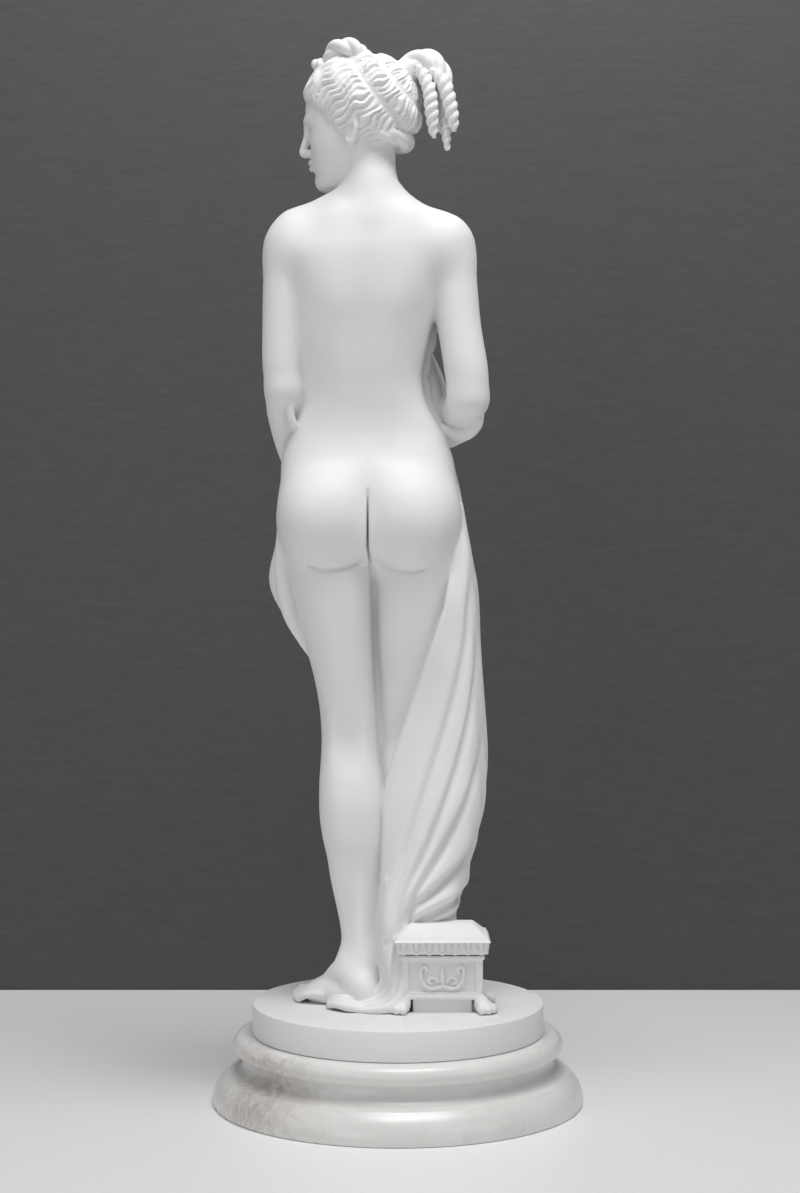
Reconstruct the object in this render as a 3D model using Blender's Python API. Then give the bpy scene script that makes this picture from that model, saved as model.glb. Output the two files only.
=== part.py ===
"""A marble statuette of a draped standing figure on a round base, and the turned alabaster plinth under it.

The origin is the centre of the plinth's underside. +Z is up and the figure faces -Y. The statuette is one
casting: figure, cloth, the casket beside its foot and the round base. The plinth is a separate piece.
"""
from concurrent.futures import ThreadPoolExecutor
from math import cos, pi, radians, sin

import bmesh
import bpy
import numpy as np

FIGURE_HEIGHT = 0.6335
BASE_RADIUS = 0.0957
BASE_THICKNESS = 0.0195
BASE_EDGE = 0.0008
PLINTH_HEIGHT = 0.0452
PLINTH_RADIUS = 0.1215
TORUS_RADIUS = 0.1082
TORUS_ROUND = 0.0065
WAIST_RADIUS = 0.1010
FOOT_ROUND = 0.0015
FOOT_RISE = 0.0040
OVOLO_RISE = 0.0192
OVOLO_INSET = 0.0090
OVOLO_SWEEP = 48.0
STEP_DEPTH = 0.0020
STEP_RISE = 0.0006
FIT_GAP = 0.0003
ROOT_DEPTH = 4.0
BASE_TOP = PLINTH_HEIGHT + FIT_GAP + BASE_THICKNESS
GRID_STEP = 2.6
FIGURE_TRIANGLES = 5800
ROUND_SIDES = 84


FAR = 60.0


class Cloud:
    """Points as three arrays, with the box that holds them and a slack for a first rough look."""

    def __init__(self, x, y, z, slack=0.0):
        self.x, self.y, self.z = x, y, z
        self.slack = slack
        self.x0, self.x1 = float(x.min()), float(x.max())
        self.y0, self.y1 = float(y.min()), float(y.max())
        self.z0, self.z1 = float(z.min()), float(z.max())

    def near(self, x0, x1, y0, y1, z0, z1, margin=14.0):
        m = margin + self.slack
        if self.z0 - m > z1 or self.z1 + m < z0 or self.x0 - m > x1 or self.x1 + m < x0:
            return False
        return self.y0 - m <= y1 and self.y1 + m >= y0

    def seen_from(self, origin, axes):
        """The same points in a turned frame: axes holds its three directions as columns."""
        x, y, z = self.x - origin[0], self.y - origin[1], self.z - origin[2]
        return Cloud(*(x * a[0] + y * a[1] + z * a[2] for a in np.asarray(axes).T), self.slack)


def smooth_min(a, b, k):
    if a is None:
        return b
    if b is None:
        return a
    h = np.maximum(k - np.abs(a - b), 0.0)
    return np.minimum(a, b) - h * h * (0.25 / k)


def smooth_max(a, b, k):
    h = np.maximum(k - np.abs(a - b), 0.0)
    return np.maximum(a, b) + h * h * (0.25 / k)


def ball(c, centre, radii):
    """An ellipsoid."""
    rx, ry, rz = radii
    r = max(radii)
    cx, cy, cz = centre
    if not c.near(cx - r, cx + r, cy - r, cy + r, cz - r, cz + r):
        return None
    x, y, z = (c.x - cx) / rx, (c.y - cy) / ry, (c.z - cz) / rz
    k0 = np.sqrt(x * x + y * y + z * z) + 1e-9
    k1 = np.sqrt((x / rx) ** 2 + (y / ry) ** 2 + (z / rz) ** 2) + 1e-9
    return k0 * (k0 - 1.0) / k1


def curve_through(points, count):
    """A smooth curve through rows of any width, as count rows."""
    p = np.asarray(points, float)
    p = np.vstack([2 * p[0] - p[1], p, 2 * p[-1] - p[-2]])
    s = np.linspace(0, len(p) - 3 - 1e-9, count)
    i = s.astype(int)
    t = (s - i)[:, None]
    a, b, d, e = p[i], p[i + 1], p[i + 2], p[i + 3]
    return 0.5 * (2 * b + (d - a) * t + (2 * a - 5 * b + 4 * d - e) * t**2 + (3 * b - a - 3 * d + e) * t**3)


class Cord:
    """A round limb or roll along a curve. Rows are (x, y, z, radius)."""

    def __init__(self, rows, count=0):
        rows = np.asarray(rows, float)
        self.rows = curve_through(rows, count) if count else rows
        r = self.rows[:, 3].max()
        self.low = (self.rows[:, :3].min(axis=0) - r).tolist()
        self.high = (self.rows[:, :3].max(axis=0) + r).tolist()
        self.pieces = []
        for a, b in zip(self.rows[:-1].tolist(), self.rows[1:].tolist()):
            step = [b[i] - a[i] for i in range(4)]
            size = max(step[0] ** 2 + step[1] ** 2 + step[2] ** 2, 1e-9)
            reach = max(a[3], b[3])
            box = []
            for i in range(3):
                box += [min(a[i], b[i]) - reach, max(a[i], b[i]) + reach]
            self.pieces.append((a, step, size, box))

    def at(self, c):
        lo, hi = self.low, self.high
        if not c.near(lo[0], hi[0], lo[1], hi[1], lo[2], hi[2]):
            return None
        d = None
        for a, step, size, box in self.pieces:
            if not c.near(*box):
                continue
            x, y, z = c.x - a[0], c.y - a[1], c.z - a[2]
            t = np.clip((x * step[0] + y * step[1] + z * step[2]) / size, 0.0, 1.0)
            e = (x - t * step[0]) ** 2 + (y - t * step[1]) ** 2 + (z - t * step[2]) ** 2
            e = np.sqrt(e) - (a[3] + t * step[3])
            d = e if d is None else np.minimum(d, e)
        return d


def cords_at(c, cords, k):
    d = None
    for cord in cords:
        d = smooth_min(d, cord.at(c), k)
    return d


class Loft:
    """A limb given by level rows (z, middle x, half width, front y, back y), with round ends."""

    def __init__(self, rows, power):
        rows = np.asarray(rows, float)
        rows = rows[np.argsort(rows[:, 0])]
        self.rows = curve_through(rows, 10 * len(rows))
        self.z0, self.z1 = rows[0, 0], rows[-1, 0]
        self.x0, self.x1 = (rows[:, 1] - rows[:, 2]).min(), (rows[:, 1] + rows[:, 2]).max()
        self.y0, self.y1 = rows[:, 3].min(), rows[:, 4].max()
        self.power = power

    def at(self, c):
        if not c.near(self.x0, self.x1, self.y0, self.y1, self.z0, self.z1):
            return None
        z = np.clip(c.z, self.z0, self.z1)
        xc, a, yf, yb = (np.interp(z, self.rows[:, 0], self.rows[:, i]) for i in (1, 2, 3, 4))
        x, y = c.x - xc, c.y - 0.5 * (yf + yb)
        b = 0.5 * (yb - yf)
        flat = np.sqrt(x * x + y * y) + 1e-9
        q = (np.abs(x / a) ** self.power + np.abs(y / b) ** self.power) ** (1.0 / self.power) + 1e-9
        d = np.where(q < 0.5, -0.5 * np.minimum(a, b), flat * (1.0 - 1.0 / q))
        dz = np.abs(c.z - z)
        return np.where(dz > 0, np.sqrt(np.maximum(d, 0) ** 2 + dz**2), d)


def swell(c, centre, radii, height):
    """A soft bump (height above 0) or hollow (below 0), as an amount to take from the distance."""
    rx, ry, rz = radii
    cx, cy, cz = centre
    if not c.near(cx - 3 * rx, cx + 3 * rx, cy - 3 * ry, cy + 3 * ry, cz - 3 * rz, cz + 3 * rz, 0.0):
        return 0.0
    q = ((c.x - cx) / rx) ** 2 + ((c.y - cy) / ry) ** 2 + ((c.z - cz) / rz) ** 2
    return height * np.exp(-0.5 * q)


def block(c, centre, half, rounding):
    """A box with rounded edges."""
    cx, cy, cz = centre
    hx, hy, hz = half
    if not c.near(cx - hx, cx + hx, cy - hy, cy + hy, cz - hz, cz + hz):
        return None
    qx = np.abs(c.x - cx) - hx + rounding
    qy = np.abs(c.y - cy) - hy + rounding
    qz = np.abs(c.z - cz) - hz + rounding
    out = np.sqrt(np.maximum(qx, 0) ** 2 + np.maximum(qy, 0) ** 2 + np.maximum(qz, 0) ** 2)
    return out + np.minimum(np.maximum(qx, np.maximum(qy, qz)), 0.0) - rounding


def fill_volume(field, xs, ys, zs, stride=10):
    """The field on the grid, worked out near the surface. Elsewhere a value only has the right sign."""
    shape = (len(xs), len(ys), len(zs))
    values = np.full(shape, FAR, np.float32)
    spans = [[(i, min(i + stride, n - 1)) for i in range(0, n - 1, stride)] for n in shape]
    mids = [np.array([(line[a] + line[b]) / 2 for a, b in s]) for line, s in zip((xs, ys, zs), spans)]
    halves = [np.array([(line[b] - line[a]) / 2 for a, b in s]) for line, s in zip((xs, ys, zs), spans)]
    reach = float(np.sqrt(sum(h.max() ** 2 for h in halves)))

    def look(i):
        near = []
        group = 6
        for k in range(0, len(spans[2]), group):
            y, z = np.meshgrid(mids[1], mids[2][k:k + group], indexing="ij")
            x = np.full(y.size, mids[0][i])
            m = field(Cloud(x, y.ravel(), z.ravel(), reach)).reshape(y.shape)
            i0, i1 = spans[0][i]
            for a, b in np.ndindex(m.shape):
                j0, j1 = spans[1][a]
                k0, k1 = spans[2][k + b]
                if abs(m[a, b]) < 1.15 * reach + 3.0:
                    near.append((i0, i1, j0, j1, k0, k1))
                elif m[a, b] < 0:
                    values[i0:i1 + 1, j0:j1 + 1, k0:k1 + 1] = -FAR
        return near

    def work(span):
        i0, i1, j0, j1, k0, k1 = span
        x, y, z = np.meshgrid(xs[i0:i1 + 1], ys[j0:j1 + 1], zs[k0:k1 + 1], indexing="ij")
        d = field(Cloud(x.ravel(), y.ravel(), z.ravel()))
        values[i0:i1 + 1, j0:j1 + 1, k0:k1 + 1] = d.reshape(x.shape)

    with ThreadPoolExecutor(4) as pool:
        near = [span for found in pool.map(look, range(len(spans[0]))) for span in found]
        list(pool.map(work, near))
    return values


def remove_pinches(values):
    """Fills grid points where two sheets would meet at one edge or corner, for a clean solid."""
    for _ in range(12):
        inside = values < 0
        mend = np.zeros_like(inside)
        for u, v in ((0, 1), (0, 2), (1, 2)):
            quarter = []
            for p in ((0, 0), (1, 0), (0, 1), (1, 1)):
                t = [slice(None)] * 3
                t[u] = slice(1, None) if p[0] else slice(None, -1)
                t[v] = slice(1, None) if p[1] else slice(None, -1)
                quarter.append(tuple(t))
            a, b, e, f = (inside[q] for q in quarter)
            bad = (a == f) & (b == e) & (a != b)
            for q in quarter:
                mend[q] |= bad
        corner = {}
        for q in np.ndindex(2, 2, 2):
            corner[q] = tuple(slice(1, None) if u else slice(None, -1) for u in q)
        total = sum(inside[s].astype(np.int8) for s in corner.values())
        for q in ((0, 0, 0), (0, 0, 1), (0, 1, 0), (0, 1, 1)):
            a, b = inside[corner[q]], inside[corner[tuple(1 - u for u in q)]]
            bad = ((total == 2) & a & b) | ((total == 6) & ~a & ~b)
            for s in corner.values():
                mend[s] |= bad
        mend &= ~inside
        if not mend.any():
            break
        values[mend] = -0.02
    return values


def dual_mesh(values, xs, ys, zs):
    """Points and quads of the zero surface: one point in each crossed cell."""
    inside = values < 0
    shape = tuple(n - 1 for n in values.shape)
    count = np.zeros(shape, np.int8)
    for q in np.ndindex(2, 2, 2):
        count += inside[tuple(slice(u, n + u) for u, n in zip(q, shape))]
    cells = np.nonzero((count > 0) & (count < 8))
    number = np.full(shape, -1, np.int32)
    number[cells] = np.arange(len(cells[0]), dtype=np.int32)
    total = np.zeros((len(cells[0]), 3))
    hits = np.zeros(len(cells[0]))
    lines = (xs, ys, zs)
    quads = []
    for axis in range(3):
        others = [a for a in range(3) if a != axis]
        for u, v in ((0, 0), (0, 1), (1, 0), (1, 1)):
            start = list(cells)
            start[others[0]] = start[others[0]] + u
            start[others[1]] = start[others[1]] + v
            stop = list(start)
            stop[axis] = start[axis] + 1
            a, b = values[tuple(start)].astype(float), values[tuple(stop)].astype(float)
            cross = (a < 0) != (b < 0)
            t = np.where(cross, a / np.where(cross, a - b, 1.0), 0.0)
            point = np.stack([line[s] for line, s in zip(lines, start)], axis=1)
            point[:, axis] += t * (lines[axis][stop[axis]] - lines[axis][start[axis]])
            total += point * cross[:, None]
            hits += cross
        o1, o2 = (axis + 1) % 3, (axis + 2) % 3
        low = [slice(1, n) for n in shape]
        high = list(low)
        low[axis] = slice(0, shape[axis])
        high[axis] = slice(1, shape[axis] + 1)
        a = inside[tuple(low)]
        edge = np.nonzero(a != inside[tuple(high)])
        index = [edge[0] + 1, edge[1] + 1, edge[2] + 1]
        index[axis] = edge[axis]
        around = []
        for u, v in ((0, 0), (1, 0), (1, 1), (0, 1)):
            q = list(index)
            q[o1] = q[o1] - u
            q[o2] = q[o2] - v
            around.append(number[tuple(q)])
        quad = np.stack(around, axis=1)
        outward = a[edge]
        quad[~outward] = quad[~outward][:, ::-1]
        quads.append(quad)
    return total / hits[:, None], np.concatenate(quads)


def outer_shell(points, quads):
    """Keeps the largest connected shell, so that no hollow is left sealed inside."""
    label = np.arange(len(points))
    while True:
        low = label[quads].min(axis=1)
        new = label.copy()
        for i in range(4):
            np.minimum.at(new, quads[:, i], low)
        new = new[new]
        if (new == label).all():
            break
        label = new
    names, counts = np.unique(label[quads[:, 0]], return_counts=True)
    keep = label == names[counts.argmax()]
    number = np.cumsum(keep) - 1
    return points[keep], number[quads[keep[quads[:, 0]]]]


# The figure, in thousandths of its stature: +Z up, her front towards -Y, her left towards +X.

SIDES = (1, -1)

TORSO_ROWS = (
    (846, 27, 30, -24, 27), (832, 27, 43, -32, 34), (815, 28, 66, -44, 41), (793, 29, 80, -54, 46),
    (770, 33, 83, -60, 49), (729, 35.5, 77.5, -64, 49), (690, 39, 71.5, -61, 43),
    (658, 39, 64.5, -56, 37.5),
    (640, 37.5, 63, -54, 34), (622, 35.5, 66, -54, 31.5), (604, 34.3, 74.5, -56, 30),
    (586, 33.2, 83, -59, 31),
    (565, 32, 89.5, -61, 37), (544, 31, 91.5, -61, 46), (523, 29.7, 92.8, -60, 52), (500, 29, 91, -56, 52),
    (480, 29, 86, -50, 46), (468, 29, 66, -44, 36), (458, 29, 42, -34, 22), (450, 29, 20, -24, 8),
)
LEFT_LEG_ROWS = (
    (500, 76, 44, -50, 34), (470, 75, 46, -52, 38), (440, 70, 43, -51, 37), (405, 65.5, 39, -49, 34),
    (370, 61.5, 35, -47, 29), (336, 56.7, 31, -42, 24), (304, 53, 29, -39, 19), (273, 51, 29, -37, 16),
    (252, 50.6, 30, -34, 20), (230, 49.4, 32.4, -31, 26), (208, 48.4, 33.6, -29, 30),
    (188, 47.8, 33.2, -28, 31),
    (168, 46.3, 31.5, -24, 31), (149, 44.5, 29, -21, 28), (128, 43.7, 26.5, -16, 25),
    (107, 42, 23.8, -11, 24),
    (86, 40.6, 21.3, -6, 25), (65, 39.8, 20, -1, 29), (46, 40, 20.5, 2, 35), (24, 38, 18, 10, 40),
)
RIGHT_LEG_ROWS = (
    (500, -17, 44, -50, 34), (470, -16, 46, -54, 38), (440, -19, 43, -56, 35), (377, -14, 36, -60, 26),
    (336, -12, 32, -62, 17), (300, -10, 30, -64, 8), (270, -9, 30, -64, 0), (240, -9, 30, -56, 6),
    (200, -12, 32, -48, 12), (150, -16, 28, -44, 8),
)
TORSO = Loft(TORSO_ROWS, 2.35)
LEFT_LEG = Loft(LEFT_LEG_ROWS, 2.12)
RIGHT_LEG = Loft(RIGHT_LEG_ROWS, 2.12)
BETWEEN_LEGS_ROWS = (
    (492, 30, 14, -50, 12), (440, 28, 13, -50, 2), (377, 25, 11, -48, -8), (300, 22, 10, -46, -12),
    (150, 14, 10, -44, -6),
)
BETWEEN_LEGS = Loft(BETWEEN_LEGS_ROWS, 3.0)

NECK = Cord(((27, 8, 808, 33), (28, 6, 840, 30), (31, 1, 862, 29), (33, -3, 888, 30)), 40)
YOKE = (
    Cord(((42, 8, 838, 15), (72, 6, 823, 15), (106, 2, 806, 15)), 30),
    Cord(((20, 8, 838, 15), (-12, 6, 819, 15), (-50, 2, 799, 15)), 30),
)
COLLAR = (
    Cord(((40, -44, 806, 7), (74, -36, 803, 6.5), (102, -18, 806, 7)), 15),
    Cord(((20, -44, 806, 7), (-14, -36, 803, 6.5), (-44, -18, 802, 7)), 15),
)
SHOULDERS = ((106, -2, 783), (-46, -2, 781))
ARMS = (
    (
        Cord(((112, -2, 786, 26), (116, 1, 745, 24.5), (119, 4, 700, 22), (120, 5, 665, 21),
              (118, 4, 636, 20)), 36),
        Cord(((118, 4, 637, 20), (117, -18, 612, 20), (110, -52, 572, 16.5), (100, -78, 548, 12),
              (94, -90, 530, 10.5)), 25),
    ),
    (
        Cord(((-53, -2, 786, 26), (-58, 1, 745, 24.5), (-64, 4, 700, 22.5), (-71, 7, 655, 22.5),
              (-73, 7, 625, 21)), 36),
        Cord(((-73, 6, 628, 21), (-66, -22, 616, 21), (-44, -58, 622, 17.5), (-16, -84, 640, 12),
              (0, -94, 649, 10.5)), 25),
    ),
)


def hand(wrist, knuckles, across, curl):
    """A loosely closed hand. across runs over the knuckles, curl is the way the fingers bend."""
    wrist, knuckles, across, curl = (np.array(v, float) for v in (wrist, knuckles, across, curl))
    ahead = (knuckles - wrist) / np.linalg.norm(knuckles - wrist)
    parts = [Cord(((*wrist, 10.5), (*(0.5 * (wrist + knuckles)), 12.5), (*knuckles, 10.5)), 7)]
    for i, size in enumerate((0.95, 1.05, 1.0, 0.85)):
        root = knuckles + across * (7.4 * i - 11.0)
        middle = root + (ahead * 12 + curl * 4) * size
        last = middle + (ahead * 1 + curl * 12) * size
        tip = last + (curl * 5 - ahead * 8) * size
        parts.append(Cord(((*root, 6.0), (*middle, 5.2), (*last, 4.8), (*tip, 4.4)), 13))
    root = wrist + ahead * 8 - across * 10
    bend = root + ahead * 13 - across * 4 + curl * 4
    tip = bend + ahead * 9 + across * 3 + curl * 7
    parts.append(Cord(((*root, 6.8), (*bend, 5.6), (*tip, 4.6)), 9))
    return parts


HANDS = (
    hand((93, -91, 528), (82, -99, 506), (-0.72, -0.30, 0.30), (-0.35, 0.55, -0.75)),
    hand((2, -95, 650), (26, -100, 657), (0.16, 0.0, -0.98), (0.55, 0.60, -0.1)),
)


TOES = ((9.5, 116, 7.2), (-1.5, 115, 5.6), (-9.0, 108, 5.2), (-16.0, 100, 4.9), (-22.0, 91, 4.7))


def foot(heel, toward, big_toe_left, size, stretch):
    """A bare foot: its heel point, the level direction of its toes, and which side the big toe is on."""
    ahead_way = np.array([*toward, 0.0]) / np.hypot(*toward)
    side_way = np.array([-ahead_way[1], ahead_way[0], 0.0]) * (1 if big_toe_left else -1)
    up_way = np.array([0.0, 0.0, 1.0])
    heel = np.array([*heel, 0.0])

    def p(ahead, side, up, radius):
        return (*(heel + size * (ahead_way * stretch * ahead + side_way * side + up_way * up)), radius * size)

    parts = [
        Cord((p(0, 0, 15, 15.5), p(18, -3, 14, 14), p(50, -8, 11, 11), p(78, -9, 9, 9)), 13),
        Cord((p(6, 0, 22, 17), p(34, 3, 34, 17), p(62, 5, 20, 13), p(88, 7, 11.5, 10.5)), 15),
        Cord((p(40, -4, 18, 12), p(70, -5, 13, 11), p(86, -4, 10, 9)), 9),
    ]
    for side, tip, radius in TOES:
        parts.append(Cord((p(tip - 32, side * 0.8, 11, radius), p(tip - 14, side, 10, radius * 0.86),
                           p(tip - 6, side, 7.5, radius * 0.9),
                           p(tip, side * 1.02, radius, radius * 0.9)), 11))
    return parts


LEFT_FOOT = foot((34, 36), (0.80, -0.60), False, 0.94, 0.82)
RIGHT_FOOT = foot((-20, 20), (-0.22, -0.975), True, 1.0, 1.0)


# the hollow of the spine: x, y, z and depth
SPINE = (
    (28, 44, 806, 0.3), (31, 50, 768, 1.0), (35, 49, 722, 2.1), (38, 40, 676, 2.4), (37, 31, 634, 2.1),
    (35, 31, 598, 1.5),
)


def back_relief(c):
    d = 0.0
    for x, y, z, depth in SPINE:
        d = d - swell(c, (x, y, z), (9, 22, 27), depth)
    for side in SIDES:
        x = 33 + 46 * side
        d = d + swell(c, (x, 44, 756), (23, 20, 28), 3.4)
        d = d + swell(c, (x - 13 * side, 47, 722), (13, 18, 15), 1.4)
        d = d + swell(c, (x + 16 * side, 40, 688), (18, 20, 34), 1.6)
        d = d + swell(c, (34 + 24 * side, 42, 655), (14, 16, 38), 2.2)
        d = d + swell(c, (32 + 21 * side, 40, 572), (9, 14, 9), -1.3)
        d = d + swell(c, (31 + 58 * side, 26, 572), (24, 24, 16), 1.6)
    d = d + swell(c, (SEAT_MIDDLE, 60, 512), (10, 24, 30), -6.5)
    return d


def leg_relief(c):
    d = swell(c, (51, 20, 266), (11, 12, 17), -3.5)
    for x, y, z, rx, ry, rz, h in (
        (33, 18, 272, 5, 10, 22, 2.2), (69, 18, 272, 5, 10, 22, 2.2), (36, 26, 202, 12, 16, 28, 3.2),
        (61, 26, 212, 11, 16, 26, 2.8), (48, 32, 190, 3.5, 10, 34, -1.4), (40, 26, 88, 5.5, 9, 34, 3.6),
        (25, 20, 82, 6, 10, 26, -2.4), (56, 20, 82, 6, 10, 26, -2.4), (60, 14, 46, 6, 9, 9, 3.2),
        (20, 12, 50, 6, 9, 9, 3.0), (-14, 8, 275, 11, 12, 17, -3.0),
    ):
        d = d + swell(c, (x, y, z), (rx, ry, rz), h)
    return d


def bust(c):
    d = None
    for side in SIDES:
        d = smooth_min(d, ball(c, (34 + 37 * side, -51, 735), (29, 28, 30)), 6)
    return d


SEAT_MIDDLE = 31.0
SEAT_FOLDS = (
    (1, ((20, 478), (32, 471), (44, 462), (58, 456.5), (76, 455), (93, 460))),
    (-1, ((-36, 459), (-16, 453), (3, 455), (18, 462), (30, 471), (42, 478))),
)


def seat_relief(c):
    """The crease under each side of the seat, as an amount to take from the distance."""
    if not c.near(-40, 104, 10, 90, 430, 500, 0.0):
        return 0.0
    seen = np.clip((c.y - 12) / 12, 0, 1)
    d = 0.0
    for side, path in SEAT_FOLDS:
        own_side = np.clip(side * (c.x - SEAT_MIDDLE) / 4 + 0.2, 0, 1)
        d = d + fold_relief(c.x, c.z, path, 1.6, 10.0, 3.2, 3.0) * seen * own_side
    return d


def seat_cleft(c):
    """The narrow upright slot between the two sides of the seat, less than zero inside it."""
    if not c.near(SEAT_MIDDLE - 10, SEAT_MIDDLE + 5, 0, 80, 400, 542):
        return None
    middle = np.interp(c.z, (400, 440, 472), (24.5, 26.5, SEAT_MIDDLE))
    half = np.interp(c.z, (400, 470, 515, 538), (1.1, 1.1, 0.8, 0.2))
    floor_y = np.interp(c.z, (400, 440, 470, 505, 530, 540), (0, 6, 24, 38, 46, 62))
    return np.maximum(np.abs(c.x - middle) - half, floor_y - c.y)


def legs(c):
    left = smooth_min(LEFT_LEG.at(c), ball(c, (77.0, 17, 500), (45.5, 44, 51)), 12)
    right = smooth_min(RIGHT_LEG.at(c), ball(c, (-13.0, 17, 498), (45.5, 44, 51)), 12)
    return smooth_min(smooth_min(left, right, 2.2), BETWEEN_LEGS.at(c), 3)


def arms(c):
    d = None
    for (upper, fore), ball_at in zip(ARMS, ((111, -4, 776), (-51, -4, 774))):
        arm = smooth_min(upper.at(c), fore.at(c), 6)
        arm = smooth_min(arm, ball(c, ball_at, (28, 30, 38)), 10)
        d = smooth_min(d, arm, 1.0)
    return d


# The head, in its own frame: x ahead of the face, y to her left, z up.
HEAD_AT = (37.0, -6.0, 902.0)
HEAD_TURN = 80.0
HEAD_NOD = 7.0
TURN, NOD = radians(HEAD_TURN), radians(HEAD_NOD)
HEAD_AHEAD = np.array([sin(TURN) * cos(NOD), -cos(TURN) * cos(NOD), -sin(NOD)])
HEAD_UP = np.array([sin(TURN) * sin(NOD), -cos(TURN) * sin(NOD), cos(NOD)])
HEAD_AXES = np.stack([HEAD_AHEAD, np.cross(HEAD_UP, HEAD_AHEAD), HEAD_UP], axis=1)

MASK_AXES = np.array(((0.0, -1.0, 0.0), (1.0, 0.0, 0.0), (0.0, 0.0, 1.0)))
MASK_ROWS = (
    (66, 34, 25), (58, 45, 32), (46, 52, 38), (32, 55, 41), (18, 55.5, 42), (6, 54.5, 42), (-6, 54.5, 41),
    (-16, 55, 38.5), (-26, 54.5, 34), (-35, 53, 28.5), (-43, 51.5, 22.5), (-49, 48, 16.5), (-53, 41, 10),
)
MASK = Loft([(z, 0.0, half, -front, 14.0) for z, front, half in MASK_ROWS], 2.2)
JAW_LINE = ((-10, 33, 2, 8), (-1, 30, -18, 8.5), (19, 20, -34, 8.5), (38, 8, -43, 8))
BROW_LINE = ((55, 4.5, 16.5, 4.0), (53.5, 14, 20.5, 3.8), (47, 24, 18.5, 3.4))
EAR_RIM = (
    (9, 42, 12, 2.4), (2, 46, 11, 2.8), (-2, 47.5, 1, 2.8), (1, 46, -9, 2.6), (6, 43, -15, 4.2),
    (10, 41.5, -9, 2.4), (8, 42, -2, 2.0),
)
UPPER_LIP = ((58.4, 0, -20.4, 2.4), (57.2, 4.5, -19.8, 2.4), (53.4, 11.0, -22.8, 1.3))
NOSE = Cord(((54, 0, 20, 4.6), (59, 0, 7, 4.0), (65.0, 0, -6.5, 4.2)), 13)


def on_both_sides(line, count):
    """The same cord on her left and on her right."""
    return [Cord([(x, y * side, z, radius) for x, y, z, radius in line], count) for side in SIDES]


JAW = on_both_sides(JAW_LINE, 17)
BROW = on_both_sides(BROW_LINE, 9)
EARS = on_both_sides(EAR_RIM, 25)
LIPS = on_both_sides(UPPER_LIP, 9)
LOWER_LIP = Cord(((53.2, -9.5, -23.8, 1.3), (56.8, -4.5, -26.0, 2.6), (57.6, 0, -26.4, 2.8),
                  (56.8, 4.5, -26.0, 2.6), (53.2, 9.5, -23.8, 1.3)), 15)
EYE = (44.6, 15.0, 7.6)


def face(c):
    """A calm, even face with lowered lids."""
    d = ball(c, (-4, 0, 28), (58, 43, 48))
    d = smooth_min(d, MASK.at(c.seen_from((0.0, 0.0, 0.0), MASK_AXES)), 8)
    d = smooth_min(d, cords_at(c, JAW, 5), 12)
    d = smooth_min(d, ball(c, (45, 0, -42.5), (10, 11.5, 9.5)), 8)
    if d is None:
        return None
    for s in SIDES:
        d = d - swell(c, (46, 24 * s, -5), (12, 8, 8), 1.6)
        hollow = ball(c, (62, EYE[1] * s, EYE[2]), (12, 11.5, 7.5))
        if hollow is not None:
            d = smooth_max(d, -hollow, 8)
        d = smooth_min(d, ball(c, (EYE[0], EYE[1] * s, EYE[2]), (8.0, 8.6, 6.6)), 1.5)
        lid = ball(c, (EYE[0], EYE[1] * s, EYE[2] + 0.2), (9.4, 9.8, 7.6))
        if lid is not None:
            droop = 0.035 * (c.y - EYE[1] * s) ** 2
            d = smooth_min(d, smooth_max(lid, EYE[2] + 1.6 - c.z - droop, 1.2), 1.2)
            d = smooth_min(d, smooth_max(lid, c.z - EYE[2] + 4.2 - droop, 1.2), 1.2)
    d = smooth_min(d, cords_at(c, BROW, 3), 7)
    d = smooth_min(d, NOSE.at(c), 6)
    d = smooth_min(d, ball(c, (61, 0, -10), (6.3, 5.2, 3.8)), 3)
    for s in SIDES:
        d = smooth_min(d, ball(c, (58, 5.3 * s, -9.8), (4.6, 3.3, 3.6)), 2)
    d = smooth_min(d, ball(c, (49, 0, -23), (8, 13, 9.5)), 8)
    d = smooth_min(d, cords_at(c, LIPS, 1.5), 2)
    d = smooth_min(d, LOWER_LIP.at(c), 2)
    return d - swell(c, (60, 0, -23.2), (5, 7, 0.9), -1.0) - swell(c, (56, 0, -33), (6, 8, 2.6), -1.1)


CAP_AT = (-4.0, 0.0, 29.0)
CAP_RADII = (60.0, 49.0, 55.0)
KNOT_WAY = np.array([-0.87, 0.0, 0.493])
KNOT_SIDE = np.array([0.0, 1.0, 0.0])
KNOT_OVER = np.cross(KNOT_WAY, KNOT_SIDE)
LOCKS = 46
BAND_AT = (40.0, 68.0)
BAND_HALF = 4.6


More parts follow.
